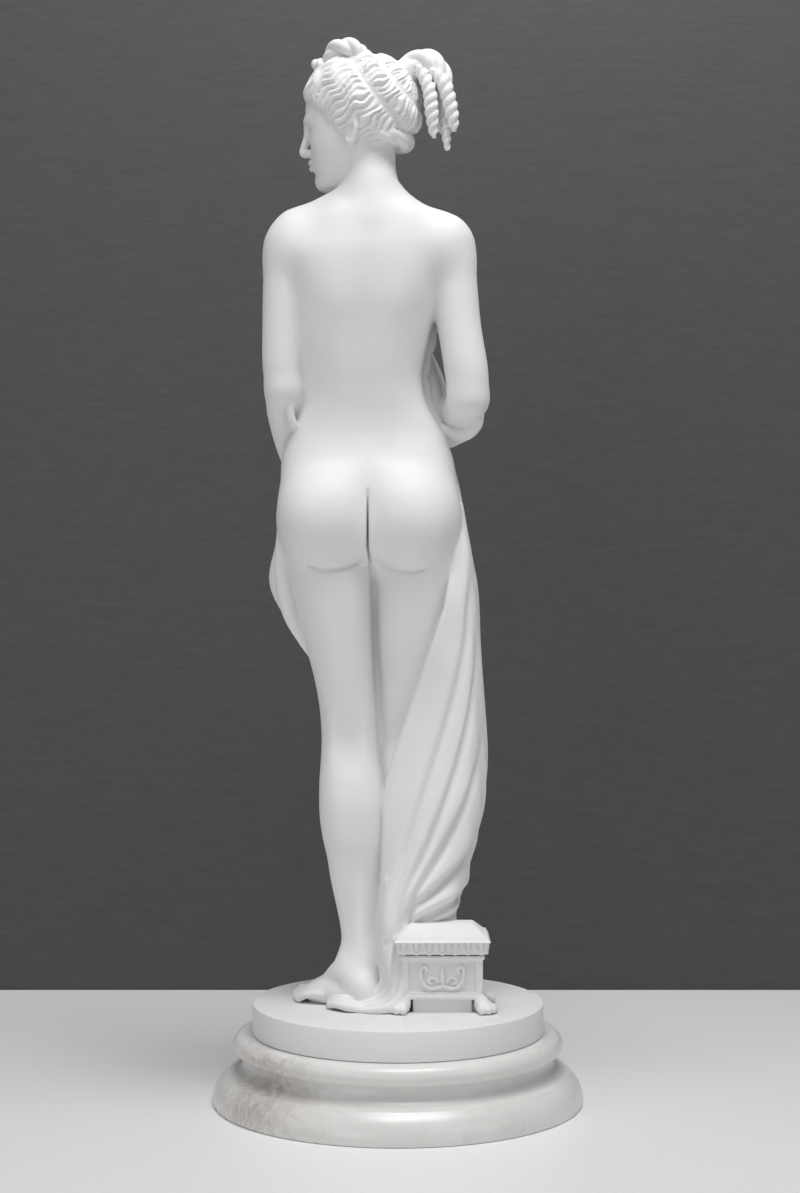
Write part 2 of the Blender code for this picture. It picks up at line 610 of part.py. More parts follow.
def hair(c):
    """Waved locks drawn back from the brow, held by two ribbons and gathered at the back."""
    if not c.near(-78, 75, -64, 64, -50, 98, 6):
        return None
    x, y, z = c.x - CAP_AT[0], c.y - CAP_AT[1], c.z - CAP_AT[2]
    q = np.sqrt((x / CAP_RADII[0]) ** 2 + (y / CAP_RADII[1]) ** 2 + (z / CAP_RADII[2]) ** 2) + 1e-9
    d = np.sqrt(x * x + y * y + z * z) * (1.0 - 1.0 / q)
    u = x * KNOT_WAY[0] + z * KNOT_WAY[2]
    v = x * KNOT_OVER[0] + z * KNOT_OVER[2]
    polar = np.degrees(np.arctan2(np.sqrt(y * y + v * v), u))
    around = np.arctan2(y, v)
    turn = np.radians(polar)
    open_up = np.clip((polar - 12) / 30, 0, 1)
    sway = 2.0 * np.sin(3 * around + 0.6) + 1.3 * np.sin(7 * around + 2)
    wave = 0.044 * np.sin(12.0 * turn + sway) + 0.010 * np.sin(23.0 * turn + 3 * around)
    lane = 0.5 * LOCKS * (around + wave * open_up) + 0.5 * np.sin(7 * around + 4 * turn)
    lock = np.abs(np.cos(lane)) ** 0.75
    deep = (3.7 + 1.1 * np.sin(2 * lane / 3.0 + 3 * turn)) * (0.45 + 0.55 * open_up)
    band = sum(np.exp(-(((polar - at) / BAND_HALF) ** 6)) for at in BAND_AT)
    full = 2.5 * np.sin(np.clip(polar / BAND_AT[0], 0, 1) * pi)
    full = full + 3.5 * np.sin(np.clip((polar - BAND_AT[0]) / (BAND_AT[1] - BAND_AT[0]), 0, 1) * pi)
    full = full + 4.5 * np.clip((polar - BAND_AT[1] - 2) / 20, 0, 1) ** 0.7
    d = d - full - deep * lock * (1 - band) - 2.6 * band + 2.4
    front = 0.80 * c.x - 0.60 * c.z - 17.0 + 0.0012 * c.y**2 + 1.7 * np.cos(2 * lane)
    nape = -c.z - 20.0 - 0.10 * c.x
    return smooth_max(d, smooth_max(front, nape, 6), 5)


def rope(points, count, radius, strands, lift, pitch, start=0.0):
    """A twisted lock: strands wound round a curve. Points are (x, y, z, share of the full thickness)."""
    line = curve_through(points, count)
    way = np.gradient(line[:, :3], axis=0)
    way = way / np.linalg.norm(way, axis=1)[:, None]
    across = np.cross(way, np.array([0.3, 0.9, 0.31]))
    across = across / np.linalg.norm(across, axis=1)[:, None]
    third = np.cross(way, across)
    steps = np.linalg.norm(np.diff(line[:, :3], axis=0), axis=1)
    run = np.concatenate([[0.0], np.cumsum(steps)])
    cords = [Cord(np.column_stack([line[:, :3], line[:, 3] * radius * 0.7]))]
    for k in range(strands):
        a = start + k * 2 * pi / strands + run * (2 * pi / pitch)
        off = (across * np.cos(a)[:, None] + third * np.sin(a)[:, None]) * (lift * line[:, 3])[:, None]
        cords.append(Cord(np.column_stack([line[:, :3] + off, line[:, 3] * radius])))
    return cords


TAIL = rope(((-52, 0, 55, 0.9), (-60, 0, 63, 1.0), (-73, 0, 66, 1.05), (-84, 0, 59, 1.0),
             (-90, 0, 45, 0.85),
             (-91, 0, 30, 0.6)), 40, 7.0, 4, 6.8, 110)
TAIL_TIE = Cord(((-49, 0, 53, 15.5), (-55, 0, 58, 15.0)), 4)
RINGLETS = (
    rope(((-70, -10, 58, 0.8), (-78, -12, 38, 1.0), (-82, -11, 16, 1.0), (-84, -9, -2, 0.8),
          (-84, -8, -10, 0.45)),
         48, 4.7, 2, 3.6, 19, 0.4)
    + rope(((-84, 7, 52, 0.9), (-93, 9, 36, 1.0), (-96, 8, 14, 1.0), (-97, 7, -2, 0.8),
            (-97, 6, -11, 0.45)),
           48, 4.7, 2, 3.6, 19, 1.9)
    + rope(((-80, 0, 40, 0.6), (-88, -2, 16, 0.75), (-88, -1, -6, 0.75), (-87, 0, -20, 0.6),
            (-87, 0, -28, 0.4)),
           48, 4.5, 2, 3.4, 17, 3.0)
    + rope(((-70, 11, 56, 0.8), (-77, 14, 34, 0.95), (-77, 14, 10, 0.95), (-76, 12, -8, 0.7),
            (-76, 12, -16, 0.4)),
           48, 4.5, 2, 3.5, 18, 4.4)
)
NAPE_ROLL = rope(((-18, 36, -8, 0.5), (-34, 26, -11, 0.9), (-43, 0, -13, 1.2), (-34, -26, -11, 0.9),
                  (-18, -36, -8, 0.5)), 40, 5.6, 3, 3.4, 44)
BOW_LOOPS = [rope(((26, 2 * side, 80, 0.8), (20, 9 * side, 88, 1.0), (7, 17 * side, 90, 1.1),
                   (-8, 22 * side, 84, 1.0), (-13, 22 * side, 75, 0.8)),
                   28, 5.6, 3, 4.4, 66) for side in SIDES]
BOW_KNOT = rope(((33, -8, 77, 0.8), (37, 0, 82, 1.0), (33, 8, 77, 0.8)), 12, 5.6, 2, 2.6, 30)
BOW = BOW_LOOPS[0] + BOW_LOOPS[1] + BOW_KNOT


def head(c):
    c = c.seen_from(HEAD_AT, HEAD_AXES)
    if not c.near(-118, 75, -64, 64, -60, 108):
        return None
    d = smooth_min(face(c), cords_at(c, EARS, 1.5), 1.5)
    for s in SIDES:
        d = smooth_min(d, ball(c, (3, 42 * s, -2), (8, 4.2, 13)), 1.0)
    d = smooth_min(d, hair(c), 1.2)
    d = smooth_min(d, cords_at(c, NAPE_ROLL, 1.0), 2.0)
    d = smooth_min(d, cords_at(c, BOW, 1.0), 2.0)
    d = smooth_min(d, smooth_min(cords_at(c, TAIL, 1.0), TAIL_TIE.at(c), 1.5), 2.0)
    return smooth_min(d, cords_at(c, RINGLETS, 0.8), 1.4)


# The cloth: level outlines round an upright axis, then its folds.
CLOTH_LEVELS = (
    (640, 33, -28, ((-29, -20), (-26, -46), (0, -62), (34, -64), (70, -60), (96, -44), (98, -18),
                    (70, -6), (34, -4), (-4, -6))),
    (600, 33, -28, ((-44, -14), (-42, -44), (-12, -66), (34, -72), (78, -68), (106, -46), (108, -18),
                    (80, -6), (34, -4), (-12, -4))),
    (540, 26, -30, ((-60, -4), (-60, -42), (-28, -70), (26, -78), (84, -76), (114, -52), (117, -24),
                    (90, -4), (34, 0), (-26, 2))),
    (480, 22, -32, ((-68, 14), (-74, -12), (-70, -46), (-42, -70), (20, -82), (84, -82), (122, -54),
                    (127, -22), (92, -4), (30, 4), (-30, 14))),
    (430, 14, -34, ((-66, 22), (-81, 2), (-80, -34), (-52, -72), (10, -88), (74, -84), (125, -52),
                    (127, -18), (40, 10), (-30, 30))),
    (370, 0, -34, ((-30, 31), (-60, 27), (-82, 8), (-86, -28), (-66, -74), (-8, -92), (52, -86),
                   (95, -54), (90, -20), (20, 10))),
    (310, -14, -32, ((-10, 22), (-44, 30), (-76, 18), (-90, -14), (-84, -58), (-38, -94), (20, -90),
                     (64, -66), (56, -26), (16, 6))),
    (250, -22, -28, ((6, 20), (-26, 32), (-64, 28), (-88, 4), (-92, -40), (-62, -86), (-8, -96),
                     (44, -78), (46, -32), (18, 2))),
    (200, -26, -25, ((12, 24), (-14, 36), (-52, 36), (-80, 16), (-89, -20), (-78, -70), (-32, -96),
                     (26, -86), (40, -44), (20, 0))),
    (150, -28, -24, ((14, 28), (-10, 40), (-42, 40), (-66, 24), (-77, -10), (-70, -62), (-38, -96),
                     (18, -88), (36, -48), (20, 0))),
    (105, -28, -24, ((15, 30), (-6, 43), (-34, 42), (-56, 28), (-62, -6), (-56, -60), (-38, -98),
                     (14, -92), (34, -52), (20, 0))),
    (50, -28, -24, ((15, 32), (-2, 45), (-34, 30), (-60, 14), (-58, -14), (-54, -62), (-44, -100),
                    (12, -96), (34, -56), (20, 0))),
    (-8, -28, -24, ((16, 36), (2, 50), (-34, 24), (-66, 8), (-78, -18), (-80, -66), (-50, -106),
                    (12, -102), (38, -58), (22, 0))),
)
# where the cloth ends behind, as (z, x)
EDGE_ROWS = np.array((
    (-10, 60), (150, 60), (200, 24), (225, 14), (255, 5), (290, -7), (330, -21), (370, -34), (410, -47),
    (450, -54), (490, -59.5), (515, -63), (540, -78), (570, -110), (640, -200),
), float)
ROUND_STEPS = 480
LEVEL_STEPS = 440

# folds: seen from behind or not, path of (x, z), height, width above, width below, depth of the crease
FOLDS = (
    (True, ((-70, 486), (-66, 420), (-56, 350), (-38, 280), (-18, 216), (-2, 160), (9, 110), (13, 50)),
     3.0, 11, 4.5, 2.2),
    (True, ((-77, 420), (-74, 350), (-62, 284), (-44, 222), (-24, 170), (-4, 124), (7, 76)),
     4.0, 13, 4.0, 3.4),
    (True, ((-86, 330), (-80, 270), (-62, 212), (-36, 162), (-12, 122), (0, 84), (5, 30)),
     4.6, 15, 4.4, 4.0),
    (True, ((-92, 250), (-86, 200), (-66, 160), (-36, 130), (-10, 108), (0, 80), (4, 20)),
     6.0, 15, 5.0, 5.0),
    (True, ((-84, 150), (-66, 122), (-40, 108), (-16, 96), (-3, 74), (2, 30), (6, 0)), 6.5, 10, 5.0, 5.0),
    (True, ((-80, 112), (-54, 98), (-28, 88), (-12, 72)), 4.0, 6, 3.6, 3.0),
    (False, ((22, 640), (-8, 590), (-40, 520), (-62, 430), (-74, 330), (-80, 200), (-82, 60),
             (-84, -8)), 5.0, 10, 4.5, 4.0),
    (False, ((24, 632), (2, 570), (-22, 490), (-42, 390), (-56, 280), (-64, 150), (-66, -8)),
     5.5, 10, 4.5, 4.5),
    (False, ((26, 628), (12, 560), (-2, 470), (-16, 360), (-28, 250), (-40, 130), (-46, -8)),
     5.5, 11, 4.5, 4.5),
    (False, ((30, 626), (26, 550), (20, 450), (10, 350), (-4, 240), (-18, 120), (-24, -8)),
     5.5, 10, 4.5, 4.5),
    (False, ((76, 500), (62, 440), (44, 370), (24, 290), (6, 190), (-4, 90), (-4, -8)),
     5.5, 10, 4.5, 4.5),
    (False, ((82, 496), (76, 430), (62, 360), (44, 280), (26, 180), (14, 80), (12, -8)),
     5.5, 9, 4.5, 4.5),
    (False, ((88, 494), (92, 430), (84, 370), (66, 300), (46, 210), (32, 100), (28, -8)),
     5.0, 8, 4.5, 4.0),
    (False, ((40, 628), (58, 590), (84, 560), (108, 540)), 4.0, 8, 4.0, 3.0),
    (False, ((38, 622), (52, 570), (74, 530)), 4.0, 8, 4.0, 3.0),
    (False, ((34, 612), (44, 560), (60, 520), (72, 508)), 3.5, 8, 4.0, 3.0),
)


def fold_relief(x, z, path, height, above, below, crease):
    """Height of one fold over points (x, z) seen square on."""
    path = curve_through(np.array(path, float), 26)
    nearest = np.full(x.shape, 1e9)
    signed = np.zeros(x.shape)
    along = np.zeros(x.shape)
    for i, (a, b) in enumerate(zip(path, path[1:])):
        dx, dz = b - a
        length = dx * dx + dz * dz
        t = np.clip(((x - a[0]) * dx + (z - a[1]) * dz) / length, 0, 1)
        u, v = x - a[0] - t * dx, z - a[1] - t * dz
        e = u * u + v * v
        closer = e < nearest
        nearest = np.where(closer, e, nearest)
        signed = np.where(closer, np.sqrt(e) * np.sign(dx * v - dz * u), signed)
        along = np.where(closer, (i + t) / (len(path) - 1), along)
    fade = np.clip(along / 0.16, 0, 1) * np.clip((1.04 - along) / 0.10, 0, 1)
    width = np.where(signed > 0, above, below)
    h = height * np.exp(-((signed / width) ** 2))
    h = h - crease * np.exp(-(((signed + 2.0 * below) / (0.75 * below)) ** 2))
    return h * fade * fade * (3 - 2 * fade)


def cloth_table():
    """The radius of the cloth about its axis, by turn and by level, with the steepness of its surface."""
    turns = np.linspace(-pi, pi, ROUND_STEPS + 1)
    radii = []
    for z, ax, ay, outline in CLOTH_LEVELS:
        loop = np.array(outline + outline[:3], float)
        loop = curve_through(loop, 12 * len(loop))
        loop = loop[12:12 + 12 * len(outline) + 8]
        angle = np.arctan2(loop[:, 1] - ay, loop[:, 0] - ax)
        r = np.hypot(loop[:, 0] - ax, loop[:, 1] - ay)
        order = np.argsort(angle)
        radii.append(np.interp(turns, angle[order], r[order], period=2 * pi))
    rows = np.column_stack([[row[:3] for row in CLOTH_LEVELS], np.array(radii)])[::-1]
    rows = curve_through(rows, 40 * len(rows))
    levels = np.linspace(rows[0, 0], rows[-1, 0], LEVEL_STEPS)
    grid = np.array([np.interp(levels, rows[:, 0], rows[:, i]) for i in range(1, rows.shape[1])])
    ax, ay, r = grid[0], grid[1], grid[2:]
    x = ax + r * np.cos(turns)[:, None]
    y = ay + r * np.sin(turns)[:, None]
    z = np.broadcast_to(levels, x.shape)
    back = np.clip((y + 24) / 14, 0, 1)
    calm = np.clip((x + 90) / 20, 0.25, 1)
    for behind, path, height, above, below, crease in FOLDS:
        r = r + fold_relief(x, z, path, height, above, below, crease) * (back if behind else 1 - back) * calm
    at_side = np.exp(-((np.abs(np.sin(turns)) / 0.62) ** 4))[:, None]
    r = r + 0.7 * at_side * np.sin(21 * turns[:, None] + 0.020 * levels + 0.8 * np.sin(0.03 * levels))
    round_slope = np.gradient(r, turns, axis=0) / np.maximum(r, 5)
    level_slope = np.gradient(r, levels, axis=1)
    steep = np.sqrt(1 + np.clip(round_slope, -2, 2) ** 2 + np.clip(level_slope, -2, 2) ** 2)
    return levels, ax, ay, r, steep


LEVELS, AXIS_X, AXIS_Y, CLOTH_RADIUS, CLOTH_STEEP = cloth_table()


def skirt(c):
    if not c.near(-98, 132, -112, 60, -10, 640):
        return None
    z = np.clip(c.z, LEVELS[0], LEVELS[-1])
    x, y = c.x - np.interp(z, LEVELS, AXIS_X), c.y - np.interp(z, LEVELS, AXIS_Y)
    u = (np.arctan2(y, x) + pi) * (ROUND_STEPS / (2 * pi))
    v = (z - LEVELS[0]) / (LEVELS[1] - LEVELS[0])
    i = np.clip(u.astype(int), 0, ROUND_STEPS - 1)
    j = np.clip(v.astype(int), 0, LEVEL_STEPS - 2)
    u, v = u - i, v - j

    def look_up(table):
        low = table[i, j] * (1 - u) + table[i + 1, j] * u
        high = table[i, j + 1] * (1 - u) + table[i + 1, j + 1] * u
        return low * (1 - v) + high * v

    d = (np.sqrt(x * x + y * y) - look_up(CLOTH_RADIUS)) / look_up(CLOTH_STEEP)
    edge = (c.x - np.interp(c.z, EDGE_ROWS[:, 0], EDGE_ROWS[:, 1])) * 0.9
    edge = np.minimum(edge, c.y + 15)
    d = smooth_max(d, edge, 4)
    return smooth_max(d, c.z - 632, 8)


def bodice(c):
    """The cloth over the bust and waist, in level swags."""
    d = BODICE.at(c)
    if d is None:
        return None
    d = smooth_min(d, bust(c), 8) - 3.0
    sag = c.z + 0.0042 * (c.x - 30) ** 2
    d = d - 2.4 * np.abs(np.cos(pi * sag / 24.0 + 0.03 * c.x)) ** 0.8
    d = smooth_max(d, c.z - 768 + 0.0035 * (c.x - 34) ** 2, 5)
    return smooth_max(d, c.y + 14, 5)


BODICE = Loft([(z, x, a + 3.5 - 0.17 * max(640 - z, 0), yf - 7, yb)
               for z, x, a, yf, yb in TORSO_ROWS if 540 <= z <= 770], 2.35)


def fan(first, last, count):
    """Cords spread evenly from one path to another."""
    first, last = np.array(first, float), np.array(last, float)
    return [Cord(first + (last - first) * (i / (count - 1)), 17) for i in range(count)]


SIDE_FOLDS = (
    fan(((112, -14, 540, 4), (118, -4, 500, 7), (119, -2, 445, 10), (112, -4, 404, 9), (98, -10, 370, 4)),
        ((100, -58, 545, 4), (110, -54, 500, 8), (112, -54, 440, 10), (102, -54, 390, 9),
         (86, -52, 350, 4)), 5)
    + fan(((100, 2, 662, 2.5), (105, 9, 640, 4), (112, 13, 614, 4.5), (107, 8, 598, 4.5),
           (95, -4, 590, 4.5)),
          ((104, -30, 658, 4), (114, -24, 632, 5), (123, -20, 606, 5), (115, -24, 588, 5),
           (98, -34, 580, 5)), 6)
    + fan(((-88, -12, 618, 3), (-82, -10, 600, 6), (-68, -12, 590, 7), (-52, -16, 594, 6),
           (-36, -22, 604, 5)),
          ((-72, -44, 612, 4), (-68, -42, 596, 6), (-56, -42, 586, 7), (-42, -44, 590, 6),
           (-26, -50, 600, 5)), 4)
    + fan(((-24, -34, 690, 5), (-30, -34, 665, 9), (-34, -32, 640, 12), (-36, -30, 612, 11)),
          ((-26, -46, 690, 5), (-34, -46, 665, 9), (-40, -44, 640, 12), (-42, -42, 612, 11)), 2)
)
HELD = fan(((0, -88, 662, 4), (10, -86, 640, 6), (8, -78, 612, 7), (-8, -72, 580, 6)),
           ((30, -90, 640, 4), (32, -84, 626, 6), (40, -80, 600, 7), (46, -76, 570, 6)), 4)
LEFT_HELD = fan(((72, -94, 500, 5), (66, -90, 476, 7), (58, -86, 440, 8), (48, -84, 400, 6)),
                ((92, -84, 500, 5), (96, -78, 476, 7), (98, -74, 440, 8), (92, -70, 400, 6)), 3)
HEM = (
    fan(((10, 36, 130, 4), (9, 41, 84, 5.5), (11, 43, 44, 5.5), (17, 42, 18, 6), (34, 42, 8, 5),
         (52, 38, 5, 4)),
        ((-6, 42, 98, 4), (-6, 52, 52, 5.5), (-4, 60, 22, 5.5), (5, 66, 8, 5.5), (20, 68, 4, 4.5),
         (40, 62, 2, 3)), 4)
    + fan(((36, 60, 3, 4), (50, 62, 5, 4), (62, 54, 6, 3.5), (70, 44, 4, 3.5)),
          ((40, 44, 6, 4.5), (54, 44, 10, 4.5), (64, 38, 9, 4), (70, 30, 5, 3.5)), 3)
)


def cloth(c):
    d = smooth_min(skirt(c), bodice(c), 6)
    d = smooth_min(d, cords_at(c, SIDE_FOLDS, 3.0), 3)
    d = smooth_min(d, cords_at(c, HELD + LEFT_HELD, 3.5), 4)
    return smooth_min(d, cords_at(c, HEM, 1.4), 2.5)


CASKET_X, CASKET_Y = -45.0, 36.0
CASKET_HALF_X, CASKET_HALF_Y = 41.0, 27.0
CASKET_FOOT = 13.0
CASKET_TOP = 57.0
LID_EAVE = 76.0
LID_TOP = 88.0
EGGS = (7, 5)


def scroll_work():
    cords = []
    for way in SIDES:
        face_y = CASKET_Y + way * (CASKET_HALF_Y - 0.6)
        for s in SIDES:
            stem = ((2, 26), (9, 24), (16, 26), (21, 32), (22, 40), (20, 46), (16, 45), (16.5, 41))
            cords.append(Cord([(CASKET_X + s * x, face_y, z, 1.9) for x, z in stem], 25))
            leaf = ((4, 31), (8, 35), (13, 34), (14, 30.5), (11, 29.5))
            cords.append(Cord([(CASKET_X + s * x, face_y, z, 1.5) for x, z in leaf], 13))
        bud = ((28, 1.4), (34, 2.4), (41, 1.8), (46, 1.0))
        cords.append(Cord([(CASKET_X, face_y, z, r) for z, r in bud], 9))
    return cords


SCROLLS = scroll_work()


def egg_band():
    """Eggs in U-shaped rims, side by side round the edge of the lid."""
    rim = ((-0.92, 6.5, 1.2), (-0.80, -1.5, 1.4), (-0.45, -6.2, 1.5), (0, -7.6, 1.5), (0.45, -6.2, 1.5),
           (0.80, -1.5, 1.4), (0.92, 6.5, 1.2))
    egg = ((0, 5.0, 2.6), (0, -2.6, 2.2))
    middle = 0.5 * (LID_EAVE + CASKET_TOP) + 1
    cords = []
    for count, half, out, along_x in ((EGGS[0], CASKET_HALF_X + 4.5, CASKET_HALF_Y + 4.2, True),
                                      (EGGS[1], CASKET_HALF_Y + 4.5, CASKET_HALF_X + 4.2, False)):
        room = half / count
        for i in range(count):
            step = (2 * i + 1 - count) * room
            for side in SIDES:
                for line in (rim, egg):
                    rows = [(step + u * room, side * out, middle + z, r) for u, z, r in line]
                    if along_x:
                        rows = [(CASKET_X + u, CASKET_Y + v, z, r) for u, v, z, r in rows]
                    else:
                        rows = [(CASKET_X + v, CASKET_Y + u, z, r) for u, v, z, r in rows]
                    cords.append(Cord(rows))
    return cords


EGG_BAND = egg_band()


def paws():
    """A broad foot with four toes under each corner."""
    cords = []
    for sx in SIDES:
        for sy in SIDES:
            x, y = CASKET_X + sx * CASKET_HALF_X, CASKET_Y + sy * CASKET_HALF_Y
            cords.append(Cord(((x - 3 * sx, y - 3 * sy, 13, 6), (x - sx, y - sy, 9, 8), (x, y, 7, 8.5))))
            for k in range(4):
                a = (k - 1.5) * 0.60
                dx, dy = 0.72 * sx * (cos(a) - sin(a)), 0.72 * sy * (sin(a) + cos(a))
                toe = ((x + 5 * dx, y + 5 * dy, 7.5, 4.4), (x + 11 * dx, y + 11 * dy, 4.4, 4.3))
                cords.append(Cord(toe))
    return cords


PAWS = paws()


def casket(c):
    if not c.near(-105, 12, -8, 82, -6, 98):
        return None
    x0, y0, hx, hy = CASKET_X, CASKET_Y, CASKET_HALF_X, CASKET_HALF_Y
    middle, half = 0.5 * (CASKET_TOP + CASKET_FOOT), 0.5 * (CASKET_TOP - CASKET_FOOT)
    d = block(c, (x0, y0, middle), (hx, hy, half), 1.0)
    recessed_base = block(c, (x0, y0, 0.5 * CASKET_FOOT), (hx - 11, hy - 3, 0.5 * CASKET_FOOT + 1), 1.2)
    d = smooth_min(d, recessed_base, 0.6)
    for s in SIDES:
        ends = block(c, (x0 + s * hx, y0, 36), (2.0, hy - 7, 15), 0.3)
        sides = block(c, (x0, y0 + s * hy, 36), (hx - 7, 2.0, 15), 0.3)
        for panel in (ends, sides):
            if panel is not None and d is not None:
                d = smooth_max(d, -panel, 0.5)
    d = smooth_min(d, block(c, (x0, y0, CASKET_FOOT + 2.5), (hx + 1.6, hy + 1.6, 2.0), 0.9), 0.5)
    d = smooth_min(d, block(c, (x0, y0, CASKET_TOP - 1.5), (hx + 1.8, hy + 1.8, 2.0), 1.0), 0.6)
    lid_middle, lid_half = 0.5 * (LID_EAVE + CASKET_TOP), 0.5 * (LID_EAVE - CASKET_TOP)
    d = smooth_min(d, block(c, (x0, y0, lid_middle + 1), (hx + 4, hy + 4, lid_half - 1), 2.0), 0.8)
    d = smooth_min(d, block(c, (x0, y0, LID_EAVE - 1), (hx + 5.5, hy + 5.5, 2.0), 1.2), 0.8)
    rise = c.z - LID_EAVE
    roof = np.maximum(np.abs(c.x - x0) - hx - 4 + 1.1 * rise, np.abs(c.y - y0) - hy - 4 + 1.6 * rise)
    roof = np.maximum(roof, np.maximum(c.z - LID_TOP, LID_EAVE - 4 - c.z)) * 0.6
    d = smooth_min(d, roof, 0.6)
    d = smooth_min(d, cords_at(c, SCROLLS, 0.6), 0.7)
    d = smooth_min(d, cords_at(c, EGG_BAND, 0.4), 0.5)
    return smooth_min(d, cords_at(c, PAWS, 1.2), 1.5)


def figure(c):
    """Distance from the surface of the whole figure, less than zero inside."""
    skin = smooth_min(TORSO.at(c), NECK.at(c), 8)
    skin = smooth_min(skin, cords_at(c, YOKE, 10), 10)
    for at in SHOULDERS:
        skin = smooth_min(skin, ball(c, at, (27, 31, 34)), 22)
    skin = smooth_min(skin, cords_at(c, COLLAR, 3), 9)
    skin = smooth_min(skin, bust(c), 10)
    skin = smooth_min(skin, legs(c), 20)
    skin = smooth_min(skin, arms(c), 7)
    if skin is None:
        skin = np.full(c.x.shape, FAR)
    skin = skin - back_relief(c) - leg_relief(c)
    skin = skin - seat_relief(c)
    cleft = seat_cleft(c)
    if cleft is not None:
        skin = smooth_max(skin, -cleft, 4.5)
    skin = smooth_min(skin, cords_at(c, LEFT_FOOT, 4), 9)
    skin = smooth_min(skin, cords_at(c, RIGHT_FOOT, 4), 6)
    for parts in HANDS:
        skin = smooth_min(skin, cords_at(c, parts, 2.0), 4)
    skin = smooth_min(skin, head(c), 5)
    d = smooth_min(skin, cloth(c), 1.6)
    d = smooth_min(d, casket(c), 1.2)
    return np.maximum(d, -(c.z + 4.0))


def clear_scene():
    for item in list(bpy.data.objects):
        bpy.data.objects.remove(item, do_unlink=True)


def stone(name, colour, roughness):
    material = bpy.data.materials.new(name)
    material.use_nodes = True
    shader = material.node_tree.nodes["Principled BSDF"]
    shader.inputs["Base Color"].default_value = (*colour, 1.0)
    shader.inputs["Roughness"].default_value = roughness
    shader.inputs["Metallic"].default_value = 0.0
    return material


def add_object(name, mesh, material, helper=False):
    item = bpy.data.objects.new(name, mesh)
    bpy.context.scene.collection.objects.link(item)
    mesh.materials.append(material)
    if helper:
        item.hide_render = True
        item.display_type = "WIRE"
    return item


def turned(name, outline, sides):
    """A solid turned about +Z from its outline of (radius, z), from the bottom middle to the top middle."""
    bm = bmesh.new()
    rings = []
    for radius, z in outline:
        if radius == 0:
            rings.append([bm.verts.new((0, 0, z))])
        else:
            angles = (2 * pi * i / sides for i in range(sides))
            rings.append([bm.verts.new((radius * cos(a), radius * sin(a), z)) for a in angles])
    for low, high in zip(rings, rings[1:]):
        for i in range(sides):
            j = (i + 1) % sides
            if len(low) == 1:
                bm.faces.new((low[0], high[j], high[i]))
            elif len(high) == 1:
                bm.faces.new((low[i], low[j], high[0]))
            else:
                bm.faces.new((low[i], low[j], high[j], high[i]))
    bmesh.ops.recalc_face_normals(bm, faces=bm.faces)
    mesh = bpy.data.meshes.new(name)
    bm.to_mesh(mesh)
    bm.free()
    mesh.shade_smooth()
    mesh.set_sharp_from_angle(angle=radians(35))
    return mesh


def arc(centre_r, centre_z, radius_r, radius_z, start, stop, steps):
    """Points of an elliptic arc in the (radius, z) plane, angles in degrees from the outward direction."""
    points = []
    for i in range(steps + 1):
        a = radians(start + (stop - start) * i / steps)
        points.append((centre_r + radius_r * cos(a), centre_z + radius_z * sin(a)))
    return points


def plinth_outline():
    """Foot, ovolo, fillet, hollow and torus, from the underside up."""
    sweep = radians(OVOLO_SWEEP)
    reach_r = OVOLO_INSET / (1.0 - cos(sweep))
    reach_z = (OVOLO_RISE - FOOT_RISE) / sin(sweep)
    step_r = PLINTH_RADIUS - OVOLO_INSET - STEP_DEPTH
    step_z = OVOLO_RISE + STEP_RISE
    torus_z = PLINTH_HEIGHT - TORUS_ROUND
    hollow_top = PLINTH_HEIGHT - 2 * TORUS_ROUND - STEP_RISE
    foot = [(0, 0), (PLINTH_RADIUS - FOOT_ROUND, 0), (PLINTH_RADIUS, FOOT_ROUND)]
    ovolo = arc(PLINTH_RADIUS - reach_r, FOOT_RISE, reach_r, reach_z, 0, OVOLO_SWEEP, 4)
    hollow = arc(step_r, hollow_top, step_r - WAIST_RADIUS, hollow_top - step_z, 270, 180, 5)
    lip = [(WAIST_RADIUS + 2 * STEP_RISE, hollow_top + STEP_RISE)]
    torus = arc(TORUS_RADIUS - TORUS_ROUND, torus_z, TORUS_ROUND, TORUS_ROUND, -80, 90, 7)
    return foot + ovolo + hollow + lip + torus + [(0, PLINTH_HEIGHT)]


def build_figure(material):
    """The carved figure as one closed skin, its size set by FIGURE_HEIGHT."""
    xs = np.arange(-152.0, 154.0, GRID_STEP)
    ys = np.arange(-128.0, 98.0, GRID_STEP)
    zs = np.arange(-ROOT_DEPTH - 1.5 * GRID_STEP, 1016.0, GRID_STEP)
    values = fill_volume(figure, xs, ys, zs)
    points, quads = outer_shell(*dual_mesh(remove_pinches(values), xs, ys, zs))
    points = points * (FIGURE_HEIGHT / 1000.0)
    mesh = bpy.data.meshes.new("figure_skin")
    mesh.from_pydata(points.tolist(), [], quads.tolist())
    mesh.shade_smooth()
    item = add_object("figure_skin", mesh, material, helper=True)
    item.location = (0, 0, BASE_TOP)
    fewer = item.modifiers.new("fewer_facets", "DECIMATE")
    fewer.ratio = FIGURE_TRIANGLES / (2.0 * len(quads))
    return item


def build():
    clear_scene()
    marble = stone("cast_marble", (0.80, 0.80, 0.80), 0.42)
    alabaster = stone("alabaster", (0.80, 0.78, 0.75), 0.30)

    low, high = BASE_TOP - BASE_THICKNESS, BASE_TOP
    edge = BASE_EDGE
    outline = [(0, low), (BASE_RADIUS - edge, low), (BASE_RADIUS, low + edge)]
    outline += [(BASE_RADIUS, high - edge), (BASE_RADIUS - edge, high), (0, high)]
    casting = add_object("statuette_casting", turned("statuette_casting", outline, ROUND_SIDES), marble)
    join = casting.modifiers.new("carved_with_base", "BOOLEAN")
    join.operation = "UNION"
    join.solver = "EXACT"
    join.object = build_figure(marble)

    add_object("alabaster_plinth", turned("alabaster_plinth", plinth_outline(), ROUND_SIDES), alabaster)


build()
